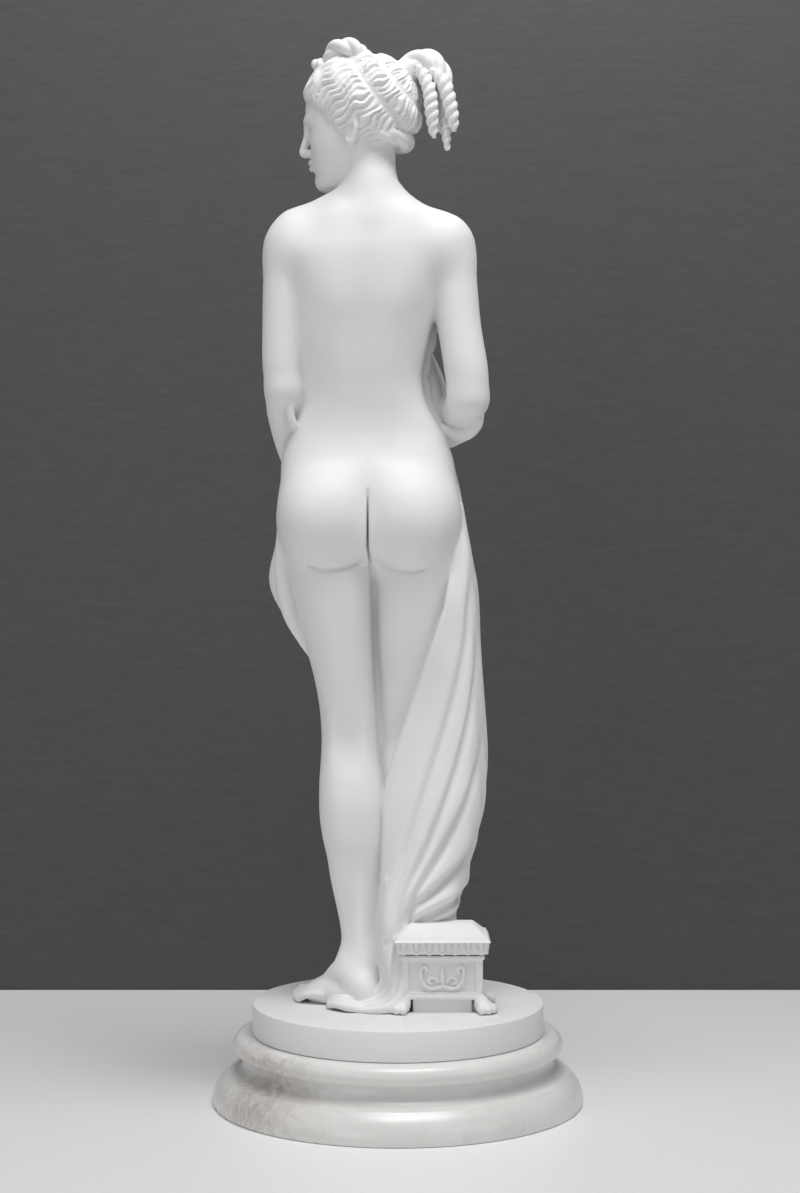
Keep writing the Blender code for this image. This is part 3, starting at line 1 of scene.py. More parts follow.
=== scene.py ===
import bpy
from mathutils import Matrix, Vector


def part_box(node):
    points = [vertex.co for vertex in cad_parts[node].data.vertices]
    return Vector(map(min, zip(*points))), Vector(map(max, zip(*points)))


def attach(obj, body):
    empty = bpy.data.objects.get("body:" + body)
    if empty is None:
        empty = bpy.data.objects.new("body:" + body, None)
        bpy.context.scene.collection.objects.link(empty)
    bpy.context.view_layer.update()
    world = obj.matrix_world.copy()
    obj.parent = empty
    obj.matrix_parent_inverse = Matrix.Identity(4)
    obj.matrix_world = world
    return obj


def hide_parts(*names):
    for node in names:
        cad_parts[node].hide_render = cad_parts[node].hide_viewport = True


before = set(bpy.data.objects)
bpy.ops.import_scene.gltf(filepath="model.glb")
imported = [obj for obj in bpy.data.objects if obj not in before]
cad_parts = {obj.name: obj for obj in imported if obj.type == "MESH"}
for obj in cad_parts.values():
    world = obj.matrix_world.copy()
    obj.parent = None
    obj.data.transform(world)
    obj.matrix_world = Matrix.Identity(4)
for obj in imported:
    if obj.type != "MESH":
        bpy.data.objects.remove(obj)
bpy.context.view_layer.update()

from concurrent.futures import ThreadPoolExecutor
from math import cos, pi, radians, sin

import bmesh
import bpy
import numpy as np
from mathutils import Vector

PLINTH_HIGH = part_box("alabaster_plinth")[1]
CASTING_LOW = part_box("statuette_casting")[0]

FIGURE_HEIGHT = 0.6335
BASE_RADIUS = 0.0957
BASE_THICKNESS = 0.0195
BASE_BOTTOM = CASTING_LOW[2]
BASE_TOP = BASE_BOTTOM + BASE_THICKNESS
PLINTH_HEIGHT = PLINTH_HIGH[2]
PLINTH_RADIUS = PLINTH_HIGH[0]
TORUS_RADIUS = 0.1082
TORUS_ROUND = 0.0065
WAIST_RADIUS = 0.1010
FOOT_ROUND = 0.0015
FOOT_RISE = 0.0040
OVOLO_RISE = 0.0192
OVOLO_INSET = 0.0090
OVOLO_SWEEP = 48.0
STEP_DEPTH = 0.0020
STEP_RISE = 0.0006
BASE_SOFT = 0.0009
OVOLO_LIP = 0.0005
OVOLO_LIP_IN = 0.0003
OVOLO_LIP_DOWN = 0.0001
TURN_SIDES = 256
BASE_SHARP, STATUETTE_SHARP, PLINTH_SHARP = 60, 66, 40

# the grid of the carving, in thousandths of the stature
ROOT_DEPTH = 4.0
GRID_STEP = 1.2
GRID_X, GRID_Y = (-152.0, 154.0), (-128.0, 98.0)
LOW_STEP, MIDDLE_STEP, HEAD_STEP = 1.1, 1.45, 0.9
LOW_TOP, MIDDLE_TOP, GRID_TOP = 104.0, 820.0, 1016.0
FIGURE_TRIANGLES = 186000
FAR = 60.0

WALL_Y = -0.372
STAGE_REACH = 3
WALL_FOOT = -0.5
CAMERA_AT = (-0.0013, 1.343, 0.3316)
FOCAL_PIXELS = 2035.0
PHOTO_HEIGHT = 1193.0
SENSOR_HEIGHT = 36.0
# name, place, point lit, size, watts
AREA_LIGHTS = (
    ("overhead", (-0.15, 0.42, 1.8), (0, 0, 0.3), (1.0, 0.7), 22),
    ("window", (1.6, 1.2, 1.2), (0, 0, 0.35), (1.2, 1.4), 4.5),
    ("fill", (-1.6, 1.3, 0.9), (0, 0, 0.35), (1.2, 1.2), 4),
    ("low", (0.9, 1.7, 0.3), (0, 0, 0.1), (0.8, 0.4), 3),
)


class Cloud:
    """Points as three arrays, with the box that holds them and a slack for a first rough look."""

    def __init__(self, x, y, z, slack=0.0):
        self.x, self.y, self.z = x, y, z
        self.slack = slack
        self.x0, self.x1 = float(x.min()), float(x.max())
        self.y0, self.y1 = float(y.min()), float(y.max())
        self.z0, self.z1 = float(z.min()), float(z.max())

    def near(self, x0, x1, y0, y1, z0, z1, margin=14.0):
        m = margin + self.slack
        if self.z0 - m > z1 or self.z1 + m < z0 or self.x0 - m > x1 or self.x1 + m < x0:
            return False
        return self.y0 - m <= y1 and self.y1 + m >= y0

    def seen_from(self, origin, axes):
        """The same points in a turned frame: axes holds its three directions as columns."""
        x, y, z = self.x - origin[0], self.y - origin[1], self.z - origin[2]
        return Cloud(*(x * a[0] + y * a[1] + z * a[2] for a in np.asarray(axes).T), self.slack)


def smooth_min(a, b, k):
    if a is None:
        return b
    if b is None:
        return a
    h = np.maximum(k - np.abs(a - b), 0.0)
    return np.minimum(a, b) - h * h * (0.25 / k)


def joined(d, *parts):
    """A distance with others blended into it in turn. Each part is a distance and its blend."""
    for part, blend in parts:
        d = smooth_min(d, part, blend)
    return d


def smooth_max(a, b, k):
    h = np.maximum(k - np.abs(a - b), 0.0)
    return np.maximum(a, b) + h * h * (0.25 / k)


def ball(c, centre, radii):
    """An ellipsoid."""
    rx, ry, rz = radii
    r = max(radii)
    cx, cy, cz = centre
    if not c.near(cx - r, cx + r, cy - r, cy + r, cz - r, cz + r):
        return None
    x, y, z = (c.x - cx) / rx, (c.y - cy) / ry, (c.z - cz) / rz
    k0 = np.sqrt(x * x + y * y + z * z) + 1e-9
    k1 = np.sqrt((x / rx) ** 2 + (y / ry) ** 2 + (z / rz) ** 2) + 1e-9
    return k0 * (k0 - 1.0) / k1


def curve_through(points, count):
    """A smooth curve through rows of any width, as count rows."""
    p = np.asarray(points, float)
    p = np.vstack([2 * p[0] - p[1], p, 2 * p[-1] - p[-2]])
    s = np.linspace(0, len(p) - 3 - 1e-9, count)
    i = s.astype(int)
    t = (s - i)[:, None]
    a, b, d, e = p[i], p[i + 1], p[i + 2], p[i + 3]
    return 0.5 * (2 * b + (d - a) * t + (2 * a - 5 * b + 4 * d - e) * t**2 + (3 * b - a - 3 * d + e) * t**3)


class Cord:
    """A round limb or roll along a curve. Rows are (x, y, z, radius)."""

    def __init__(self, rows, count=0):
        rows = np.asarray(rows, float)
        self.rows = curve_through(rows, count) if count else rows
        r = self.rows[:, 3].max()
        self.low = (self.rows[:, :3].min(axis=0) - r).tolist()
        self.high = (self.rows[:, :3].max(axis=0) + r).tolist()
        self.pieces = []
        for a, b in zip(self.rows[:-1].tolist(), self.rows[1:].tolist()):
            step = [b[i] - a[i] for i in range(4)]
            size = max(step[0] ** 2 + step[1] ** 2 + step[2] ** 2, 1e-9)
            reach = max(a[3], b[3])
            box = []
            for i in range(3):
                box += [min(a[i], b[i]) - reach, max(a[i], b[i]) + reach]
            self.pieces.append((a, step, size, box))

    def at(self, c):
        lo, hi = self.low, self.high
        if not c.near(lo[0], hi[0], lo[1], hi[1], lo[2], hi[2]):
            return None
        d = None
        for a, step, size, box in self.pieces:
            if not c.near(*box):
                continue
            x, y, z = c.x - a[0], c.y - a[1], c.z - a[2]
            t = np.clip((x * step[0] + y * step[1] + z * step[2]) / size, 0.0, 1.0)
            e = (x - t * step[0]) ** 2 + (y - t * step[1]) ** 2 + (z - t * step[2]) ** 2
            e = np.sqrt(e) - (a[3] + t * step[3])
            d = e if d is None else np.minimum(d, e)
        return d


def cords_at(c, cords, k):
    d = None
    for cord in cords:
        d = smooth_min(d, cord.at(c), k)
    return d


class Loft:
    """A limb given by level rows (z, middle x, half width, front y, back y), with round ends."""

    def __init__(self, rows, power):
        rows = np.asarray(rows, float)
        rows = rows[np.argsort(rows[:, 0])]
        self.rows = curve_through(rows, 10 * len(rows))
        self.z0, self.z1 = rows[0, 0], rows[-1, 0]
        self.x0, self.x1 = (rows[:, 1] - rows[:, 2]).min(), (rows[:, 1] + rows[:, 2]).max()
        self.y0, self.y1 = rows[:, 3].min(), rows[:, 4].max()
        self.power = power

    def at(self, c):
        if not c.near(self.x0, self.x1, self.y0, self.y1, self.z0, self.z1):
            return None
        z = np.clip(c.z, self.z0, self.z1)
        xc, a, yf, yb = (np.interp(z, self.rows[:, 0], self.rows[:, i]) for i in (1, 2, 3, 4))
        x, y = c.x - xc, c.y - 0.5 * (yf + yb)
        b = 0.5 * (yb - yf)
        flat = np.sqrt(x * x + y * y) + 1e-9
        q = (np.abs(x / a) ** self.power + np.abs(y / b) ** self.power) ** (1.0 / self.power) + 1e-9
        d = np.where(q < 0.5, -0.5 * np.minimum(a, b), flat * (1.0 - 1.0 / q))
        dz = np.abs(c.z - z)
        return np.where(dz > 0, np.sqrt(np.maximum(d, 0) ** 2 + dz**2), d)


def swell(c, centre, radii, height):
    """A soft bump (height above 0) or hollow (below 0), as an amount to take from the distance."""
    rx, ry, rz = radii
    cx, cy, cz = centre
    if not c.near(cx - 3 * rx, cx + 3 * rx, cy - 3 * ry, cy + 3 * ry, cz - 3 * rz, cz + 3 * rz, 0.0):
        return 0.0
    q = ((c.x - cx) / rx) ** 2 + ((c.y - cy) / ry) ** 2 + ((c.z - cz) / rz) ** 2
    return height * np.exp(-0.5 * q)


def block(c, centre, half, rounding):
    """A box with rounded edges."""
    cx, cy, cz = centre
    hx, hy, hz = half
    if not c.near(cx - hx, cx + hx, cy - hy, cy + hy, cz - hz, cz + hz):
        return None
    qx = np.abs(c.x - cx) - hx + rounding
    qy = np.abs(c.y - cy) - hy + rounding
    qz = np.abs(c.z - cz) - hz + rounding
    out = np.sqrt(np.maximum(qx, 0) ** 2 + np.maximum(qy, 0) ** 2 + np.maximum(qz, 0) ** 2)
    return out + np.minimum(np.maximum(qx, np.maximum(qy, qz)), 0.0) - rounding


def fill_volume(field, xs, ys, zs, stride=10):
    """The field on the grid, worked out near the surface. Elsewhere a value only has the right sign."""
    shape = (len(xs), len(ys), len(zs))
    values = np.full(shape, FAR, np.float32)
    spans = [[(i, min(i + stride, n - 1)) for i in range(0, n - 1, stride)] for n in shape]
    mids = [np.array([(line[a] + line[b]) / 2 for a, b in s]) for line, s in zip((xs, ys, zs), spans)]
    halves = [np.array([(line[b] - line[a]) / 2 for a, b in s]) for line, s in zip((xs, ys, zs), spans)]
    reach = float(np.sqrt(sum(h.max() ** 2 for h in halves)))

    def look(i):
        near = []
        group = 6
        for k in range(0, len(spans[2]), group):
            y, z = np.meshgrid(mids[1], mids[2][k:k + group], indexing="ij")
            x = np.full(y.size, mids[0][i])
            m = field(Cloud(x, y.ravel(), z.ravel(), reach)).reshape(y.shape)
            i0, i1 = spans[0][i]
            for a, b in np.ndindex(m.shape):
                j0, j1 = spans[1][a]
                k0, k1 = spans[2][k + b]
                if abs(m[a, b]) < 1.15 * reach + 3.0:
                    near.append((i0, i1, j0, j1, k0, k1))
                elif m[a, b] < 0:
                    values[i0:i1 + 1, j0:j1 + 1, k0:k1 + 1] = -FAR
        return near

    def work(span):
        i0, i1, j0, j1, k0, k1 = span
        x, y, z = np.meshgrid(xs[i0:i1 + 1], ys[j0:j1 + 1], zs[k0:k1 + 1], indexing="ij")
        return field(Cloud(x.ravel(), y.ravel(), z.ravel())).reshape(x.shape)

    with ThreadPoolExecutor(4) as pool:
        near = [span for found in pool.map(look, range(len(spans[0]))) for span in found]
        # written in order, because neighbours share a face: the result is then the same each run
        for (i0, i1, j0, j1, k0, k1), found in zip(near, pool.map(work, near)):
            values[i0:i1 + 1, j0:j1 + 1, k0:k1 + 1] = found
    return values


def remove_pinches(values):
    """Fills grid points where two sheets would meet at one edge or corner, for a clean solid."""
    for _ in range(12):
        inside = values < 0
        mend = np.zeros_like(inside)
        for u, v in ((0, 1), (0, 2), (1, 2)):
            quarter = []
            for p in ((0, 0), (1, 0), (0, 1), (1, 1)):
                t = [slice(None)] * 3
                t[u] = slice(1, None) if p[0] else slice(None, -1)
                t[v] = slice(1, None) if p[1] else slice(None, -1)
                quarter.append(tuple(t))
            a, b, e, f = (inside[q] for q in quarter)
            bad = (a == f) & (b == e) & (a != b)
            for q in quarter:
                mend[q] |= bad
        corner = {}
        for q in np.ndindex(2, 2, 2):
            corner[q] = tuple(slice(1, None) if u else slice(None, -1) for u in q)
        total = sum(inside[s].astype(np.int8) for s in corner.values())
        for q in ((0, 0, 0), (0, 0, 1), (0, 1, 0), (0, 1, 1)):
            a, b = inside[corner[q]], inside[corner[tuple(1 - u for u in q)]]
            bad = ((total == 2) & a & b) | ((total == 6) & ~a & ~b)
            for s in corner.values():
                mend[s] |= bad
        mend &= ~inside
        if not mend.any():
            break
        values[mend] = -0.02
    return values


def dual_mesh(values, xs, ys, zs):
    """Points and quads of the zero surface: one point in each crossed cell."""
    inside = values < 0
    shape = tuple(n - 1 for n in values.shape)
    count = np.zeros(shape, np.int8)
    for q in np.ndindex(2, 2, 2):
        count += inside[tuple(slice(u, n + u) for u, n in zip(q, shape))]
    cells = np.nonzero((count > 0) & (count < 8))
    number = np.full(shape, -1, np.int32)
    number[cells] = np.arange(len(cells[0]), dtype=np.int32)
    total = np.zeros((len(cells[0]), 3))
    hits = np.zeros(len(cells[0]))
    lines = (xs, ys, zs)
    quads = []
    for axis in range(3):
        others = [a for a in range(3) if a != axis]
        for u, v in ((0, 0), (0, 1), (1, 0), (1, 1)):
            start = list(cells)
            start[others[0]] = start[others[0]] + u
            start[others[1]] = start[others[1]] + v
            stop = list(start)
            stop[axis] = start[axis] + 1
            a, b = values[tuple(start)].astype(float), values[tuple(stop)].astype(float)
            cross = (a < 0) != (b < 0)
            t = np.where(cross, a / np.where(cross, a - b, 1.0), 0.0)
            point = np.stack([line[s] for line, s in zip(lines, start)], axis=1)
            point[:, axis] += t * (lines[axis][stop[axis]] - lines[axis][start[axis]])
            total += point * cross[:, None]
            hits += cross
        o1, o2 = (axis + 1) % 3, (axis + 2) % 3
        low = [slice(1, n) for n in shape]
        high = list(low)
        low[axis] = slice(0, shape[axis])
        high[axis] = slice(1, shape[axis] + 1)
        a = inside[tuple(low)]
        edge = np.nonzero(a != inside[tuple(high)])
        index = [edge[0] + 1, edge[1] + 1, edge[2] + 1]
        index[axis] = edge[axis]
        around = []
        for u, v in ((0, 0), (1, 0), (1, 1), (0, 1)):
            q = list(index)
            q[o1] = q[o1] - u
            q[o2] = q[o2] - v
            around.append(number[tuple(q)])
        quad = np.stack(around, axis=1)
        outward = a[edge]
        quad[~outward] = quad[~outward][:, ::-1]
        quads.append(quad)
    return total / hits[:, None], np.concatenate(quads)


def outer_shell(points, quads):
    """Keeps the largest connected shell, so that no hollow is left sealed inside."""
    label = np.arange(len(points))
    while True:
        low = label[quads].min(axis=1)
        new = label.copy()
        for i in range(4):
            np.minimum.at(new, quads[:, i], low)
        new = new[new]
        if (new == label).all():
            break
        label = new
    names, counts = np.unique(label[quads[:, 0]], return_counts=True)
    keep = label == names[counts.argmax()]
    number = np.cumsum(keep) - 1
    return points[keep], number[quads[keep[quads[:, 0]]]]


# The figure, in thousandths of its stature: +Z up, her front towards -Y, her left towards +X.

SIDES = (1, -1)

TORSO_ROWS = (
    (846, 27, 30, -24, 27), (832, 27, 43, -32, 34), (815, 28, 66, -44, 41), (793, 29, 80, -54, 46),
    (770, 33, 83, -60, 49), (729, 35.5, 77.5, -64, 49), (690, 39, 71.5, -61, 43),
    (658, 39, 64.5, -56, 37.5), (640, 37.5, 63, -54, 34), (622, 35.5, 66, -54, 31.5),
    (604, 34.3, 74.5, -56, 30), (586, 33.2, 83, -59, 31), (565, 32, 89.5, -61, 37),
    (544, 31, 91.5, -61, 46), (523, 29.7, 92.8, -60, 52), (500, 29, 91, -56, 52), (480, 29, 86, -50, 46),
    (468, 29, 66, -44, 36), (458, 29, 42, -34, 22), (450, 29, 20, -24, 8),
)
LEFT_LEG_ROWS = (
    (500, 76, 44, -50, 34), (470, 75, 46, -52, 38), (440, 70, 43, -51, 37), (405, 65.5, 39, -49, 34),
    (370, 61.5, 35, -47, 29), (336, 56.7, 31, -42, 24), (304, 53, 29, -39, 19), (273, 51, 29, -37, 16),
    (252, 50.6, 30, -34, 20), (230, 49.4, 32.4, -31, 26), (208, 48.4, 33.6, -29, 30),
    (188, 47.8, 33.2, -28, 31), (168, 46.3, 31.5, -24, 31), (149, 44.5, 29, -21, 28),
    (128, 43.7, 26.5, -16, 25), (107, 42, 23.8, -11, 24), (86, 40.6, 21.3, -6, 25), (65, 39.8, 20, -1, 29),
    (46, 40, 20.5, 2, 35), (24, 38, 18, 10, 40),
)
RIGHT_LEG_ROWS = (
    (500, -17, 44, -50, 34), (470, -16, 46, -54, 38), (440, -19, 43, -56, 35), (377, -14, 36, -60, 26),
    (336, -12, 32, -62, 17), (300, -10, 30, -64, 8), (270, -9, 30, -64, 0), (240, -9, 30, -56, 6),
    (200, -12, 32, -48, 12), (150, -16, 28, -44, 8),
)
TORSO = Loft(TORSO_ROWS, 2.35)
LEFT_LEG = Loft(LEFT_LEG_ROWS, 2.12)
RIGHT_LEG = Loft(RIGHT_LEG_ROWS, 2.12)
BETWEEN_LEGS_ROWS = (
    (492, 30, 14, -50, 12), (440, 28, 13, -50, 2), (377, 25, 11, -48, -8), (300, 22, 10, -46, -12),
    (150, 14, 10, -44, -6),
)
BETWEEN_LEGS = Loft(BETWEEN_LEGS_ROWS, 3.0)

NECK = Cord(((27, 8, 808, 33), (28, 6, 840, 30), (31, 1, 862, 29), (33, -3, 888, 30)), 40)
YOKE = (
    Cord(((42, 8, 838, 15), (72, 6, 823, 15), (106, 2, 806, 15)), 30),
    Cord(((20, 8, 838, 15), (-12, 6, 819, 15), (-50, 2, 799, 15)), 30),
)
COLLAR = (
    Cord(((40, -44, 806, 7), (74, -36, 803, 6.5), (102, -18, 806, 7)), 15),
    Cord(((20, -44, 806, 7), (-14, -36, 803, 6.5), (-44, -18, 802, 7)), 15),
)
SHOULDERS = ((106, -2, 783), (-46, -2, 781))
ARMS = (
    (
        Cord(((112, -2, 786, 26), (116, 1, 745, 24.5), (119, 4, 700, 22), (120, 5, 665, 21),
              (118, 4, 636, 20)), 36),
        Cord(((118, 4, 637, 20), (117, -18, 612, 20), (110, -52, 572, 16.5), (100, -78, 548, 12),
              (94, -90, 530, 10.5)), 25),
    ),
    (
        Cord(((-53, -2, 786, 26), (-58, 1, 745, 24.5), (-64, 4, 700, 22.5), (-71, 7, 655, 22.5),
              (-73, 7, 625, 21)), 36),
        Cord(((-73, 6, 628, 21), (-66, -22, 616, 21), (-44, -58, 622, 17.5), (-16, -84, 640, 12),
              (0, -94, 649, 10.5)), 25),
    ),
)


def hand(wrist, knuckles, across, curl):
    """A loosely closed hand. across runs over the knuckles, curl is the way the fingers bend."""
    wrist, knuckles, across, curl = (np.array(v, float) for v in (wrist, knuckles, across, curl))
    ahead = (knuckles - wrist) / np.linalg.norm(knuckles - wrist)
    parts = [Cord(((*wrist, 10.5), (*(0.5 * (wrist + knuckles)), 12.5), (*knuckles, 10.5)), 7)]
    for i, size in enumerate((0.95, 1.05, 1.0, 0.85)):
        root = knuckles + across * (7.4 * i - 11.0)
        middle = root + (ahead * 12 + curl * 4) * size
        last = middle + (ahead * 1 + curl * 12) * size
        tip = last + (curl * 5 - ahead * 8) * size
        parts.append(Cord(((*root, 6.0), (*middle, 5.2), (*last, 4.8), (*tip, 4.4)), 13))
    root = wrist + ahead * 8 - across * 10
    bend = root + ahead * 13 - across * 4 + curl * 4
    tip = bend + ahead * 9 + across * 3 + curl * 7
    parts.append(Cord(((*root, 6.8), (*bend, 5.6), (*tip, 4.6)), 9))
    return parts


HANDS = (
    hand((93, -91, 528), (82, -99, 506), (-0.72, -0.30, 0.30), (-0.35, 0.55, -0.75)),
    hand((2, -95, 650), (26, -100, 657), (0.16, 0.0, -0.98), (0.55, 0.60, -0.1)),
)


TOES = ((9.5, 116, 7.2), (-1.5, 115, 5.6), (-9.0, 108, 5.2), (-16.0, 100, 4.9), (-22.0, 91, 4.7))


def foot(heel, toward, big_toe_left, size, stretch):
    """A bare foot: its heel point, the level direction of its toes, and which side the big toe is on."""
    ahead_way = np.array([*toward, 0.0]) / np.hypot(*toward)
    side_way = np.array([-ahead_way[1], ahead_way[0], 0.0]) * (1 if big_toe_left else -1)
    up_way = np.array([0.0, 0.0, 1.0])
    heel = np.array([*heel, 0.0])

    def p(ahead, side, up, radius):
        at = heel + size * (ahead_way * stretch * ahead + side_way * side + up_way * up)
        return (*at, radius * size)

    parts = [
        Cord((p(0, 0, 15, 15.5), p(18, -3, 14, 14), p(50, -8, 11, 11), p(78, -9, 9, 9)), 13),
        Cord((p(6, 0, 22, 17), p(34, 3, 34, 17), p(62, 5, 20, 13), p(88, 7, 11.5, 10.5)), 15),
        Cord((p(40, -4, 18, 12), p(70, -5, 13, 11), p(86, -4, 10, 9)), 9),
    ]
    for side, tip, radius in TOES:
        parts.append(Cord((p(tip - 32, side * 0.8, 11, radius), p(tip - 14, side, 10, radius * 0.86),
                           p(tip - 6, side, 7.5, radius * 0.9),
                           p(tip, side * 1.02, radius, radius * 0.9)), 11))
    return parts


LEFT_FOOT = foot((34, 36), (0.80, -0.60), False, 0.94, 0.82)
RIGHT_FOOT = foot((-20, 20), (-0.22, -0.975), True, 1.0, 1.0)


# the hollow of the spine: x, y, z and depth
SPINE = (
    (28, 44, 806, 0.3), (31, 50, 768, 1.0), (35, 49, 722, 2.1), (38, 40, 676, 2.4), (37, 31, 634, 2.1),
    (35, 31, 598, 1.5),
)


# swells and hollows on each side of the back: x of the middle, x outwards, y, z, three radii, height
BACK_FORMS = (
    (33, 46, 44, 756, 23, 20, 28, 3.4), (33, 33, 47, 722, 13, 18, 15, 1.4),
    (33, 62, 40, 688, 18, 20, 34, 1.6), (34, 24, 42, 655, 14, 16, 38, 2.2),
    (32, 21, 40, 572, 9, 14, 9, -1.3), (31, 58, 26, 572, 24, 24, 16, 1.6),
)
# swells and hollows of the legs: x, y, z, three radii, height
LEG_FORMS = (
    (51, 20, 266, 11, 12, 17, -3.5), (33, 18, 272, 5, 10, 22, 2.2), (69, 18, 272, 5, 10, 22, 2.2),
    (36, 26, 202, 12, 16, 28, 3.2), (61, 26, 212, 11, 16, 26, 2.8), (48, 32, 190, 3.5, 10, 34, -1.4),
    (40, 26, 88, 5.5, 9, 34, 3.6), (25, 20, 82, 6, 10, 26, -2.4), (56, 20, 82, 6, 10, 26, -2.4),
    (60, 14, 46, 6, 9, 9, 3.2), (20, 12, 50, 6, 9, 9, 3.0), (-14, 8, 275, 11, 12, 17, -3.0),
)


def back_relief(c):
    d = 0.0
    for x, y, z, depth in SPINE:
        d = d - swell(c, (x, y, z), (9, 22, 27), depth)
    for side in SIDES:
        for x, out, y, z, rx, ry, rz, height in BACK_FORMS:
            d = d + swell(c, (x + out * side, y, z), (rx, ry, rz), height)
    return d + swell(c, (SEAT_MIDDLE, 60, 512), (10, 24, 30), -6.5)


def leg_relief(c):
    return sum(swell(c, row[:3], row[3:6], row[6]) for row in LEG_FORMS)


def bust(c):
    d = None
    for side in SIDES:
        d = smooth_min(d, ball(c, (34 + 37 * side, -51, 735), (29, 28, 30)), 6)
    return d


SEAT_MIDDLE = 31.0
SEAT_FOLDS = (
    (1, ((20, 478), (32, 471), (44, 462), (58, 456.5), (76, 455), (93, 460))),
    (-1, ((-36, 459), (-16, 453), (3, 455), (18, 462), (30, 471), (42, 478))),
)


def seat_relief(c):
    """The crease under each side of the seat, as an amount to take from the distance."""
    if not c.near(-40, 104, 10, 90, 430, 500, 0.0):
        return 0.0
    seen = np.clip((c.y - 12) / 12, 0, 1)
    d = 0.0
    for side, path in SEAT_FOLDS:
        own_side = np.clip(side * (c.x - SEAT_MIDDLE) / 4 + 0.2, 0, 1)
        d = d + fold_relief(c.x, c.z, path, 1.6, 10.0, 3.2, 3.0) * seen * own_side
    return d


def seat_cleft(c):
    """The narrow upright slot between the two sides of the seat, less than zero inside it."""
    if not c.near(SEAT_MIDDLE - 10, SEAT_MIDDLE + 5, 0, 80, 400, 542):
        return None
    middle = np.interp(c.z, (400, 440, 472), (24.5, 26.5, SEAT_MIDDLE))
    half = np.interp(c.z, (400, 470, 515, 538), (1.1, 1.1, 0.8, 0.2))
    floor_y = np.interp(c.z, (400, 440, 470, 505, 530, 540), (0, 6, 24, 38, 46, 62))
    return np.maximum(np.abs(c.x - middle) - half, floor_y - c.y)


def legs(c):
    left = smooth_min(LEFT_LEG.at(c), ball(c, (77.0, 17, 500), (45.5, 44, 51)), 12)
    right = smooth_min(RIGHT_LEG.at(c), ball(c, (-13.0, 17, 498), (45.5, 44, 51)), 12)
    return smooth_min(smooth_min(left, right, 2.2), BETWEEN_LEGS.at(c), 3)


def arms(c):
    d = None
    for (upper, fore), ball_at in zip(ARMS, ((111, -4, 776), (-51, -4, 774))):
        arm = joined(upper.at(c), (fore.at(c), 6), (ball(c, ball_at, (28, 30, 38)), 10))
        d = smooth_min(d, arm, 1.0)
    return d


# The head, in its own frame: x ahead of the face, y to her left, z up.
HEAD_AT = (37.0, -6.0, 902.0)
HEAD_TURN = 80.0
HEAD_NOD = 7.0
TURN, NOD = radians(HEAD_TURN), radians(HEAD_NOD)
HEAD_AHEAD = np.array([sin(TURN) * cos(NOD), -cos(TURN) * cos(NOD), -sin(NOD)])
HEAD_UP = np.array([sin(TURN) * sin(NOD), -cos(TURN) * sin(NOD), cos(NOD)])
HEAD_AXES = np.stack([HEAD_AHEAD, np.cross(HEAD_UP, HEAD_AHEAD), HEAD_UP], axis=1)

MASK_AXES = np.array(((0.0, -1.0, 0.0), (1.0, 0.0, 0.0), (0.0, 0.0, 1.0)))
MASK_ROWS = (
    (66, 34, 25), (58, 45, 32), (46, 52, 38), (32, 55, 41), (18, 55.5, 42), (6, 54.5, 42), (-6, 54.5, 41),
    (-16, 55, 38.5), (-26, 54.5, 34), (-35, 53, 28.5), (-43, 51.5, 22.5), (-49, 48, 16.5), (-53, 41, 10),
)
MASK = Loft([(z, 0.0, half, -front, 14.0) for z, front, half in MASK_ROWS], 2.2)
JAW_LINE = ((-10, 33, 2, 8), (-1, 30, -18, 8.5), (19, 20, -34, 8.5), (38, 8, -43, 8))
BROW_LINE = ((55, 4.5, 16.5, 4.0), (53.5, 14, 20.5, 3.8), (47, 24, 18.5, 3.4))
EAR_RIM = (
    (9, 42, 12, 2.4), (2, 46, 11, 2.8), (-2, 47.5, 1, 2.8), (1, 46, -9, 2.6), (6, 43, -15, 4.2),
    (10, 41.5, -9, 2.4), (8, 42, -2, 2.0),
)
UPPER_LIP = ((58.4, 0, -20.4, 2.4), (57.2, 4.5, -19.8, 2.4), (53.4, 11.0, -22.8, 1.3))
NOSE = Cord(((54, 0, 20, 4.6), (59, 0, 7, 4.0), (65.0, 0, -6.5, 4.2)), 13)


def on_both_sides(line, count):
    """The same cord on her left and on her right."""
    return [Cord([(x, y * side, z, radius) for x, y, z, radius in line], count) for side in SIDES]


JAW = on_both_sides(JAW_LINE, 17)
BROW = on_both_sides(BROW_LINE, 9)
EARS = on_both_sides(EAR_RIM, 25)
LIPS = on_both_sides(UPPER_LIP, 9)
LOWER_LIP = Cord(((53.2, -9.5, -23.8, 1.3), (56.8, -4.5, -26.0, 2.6), (57.6, 0, -26.4, 2.8),
                  (56.8, 4.5, -26.0, 2.6), (53.2, 9.5, -23.8, 1.3)), 15)
EYE = (44.6, 15.0, 7.6)


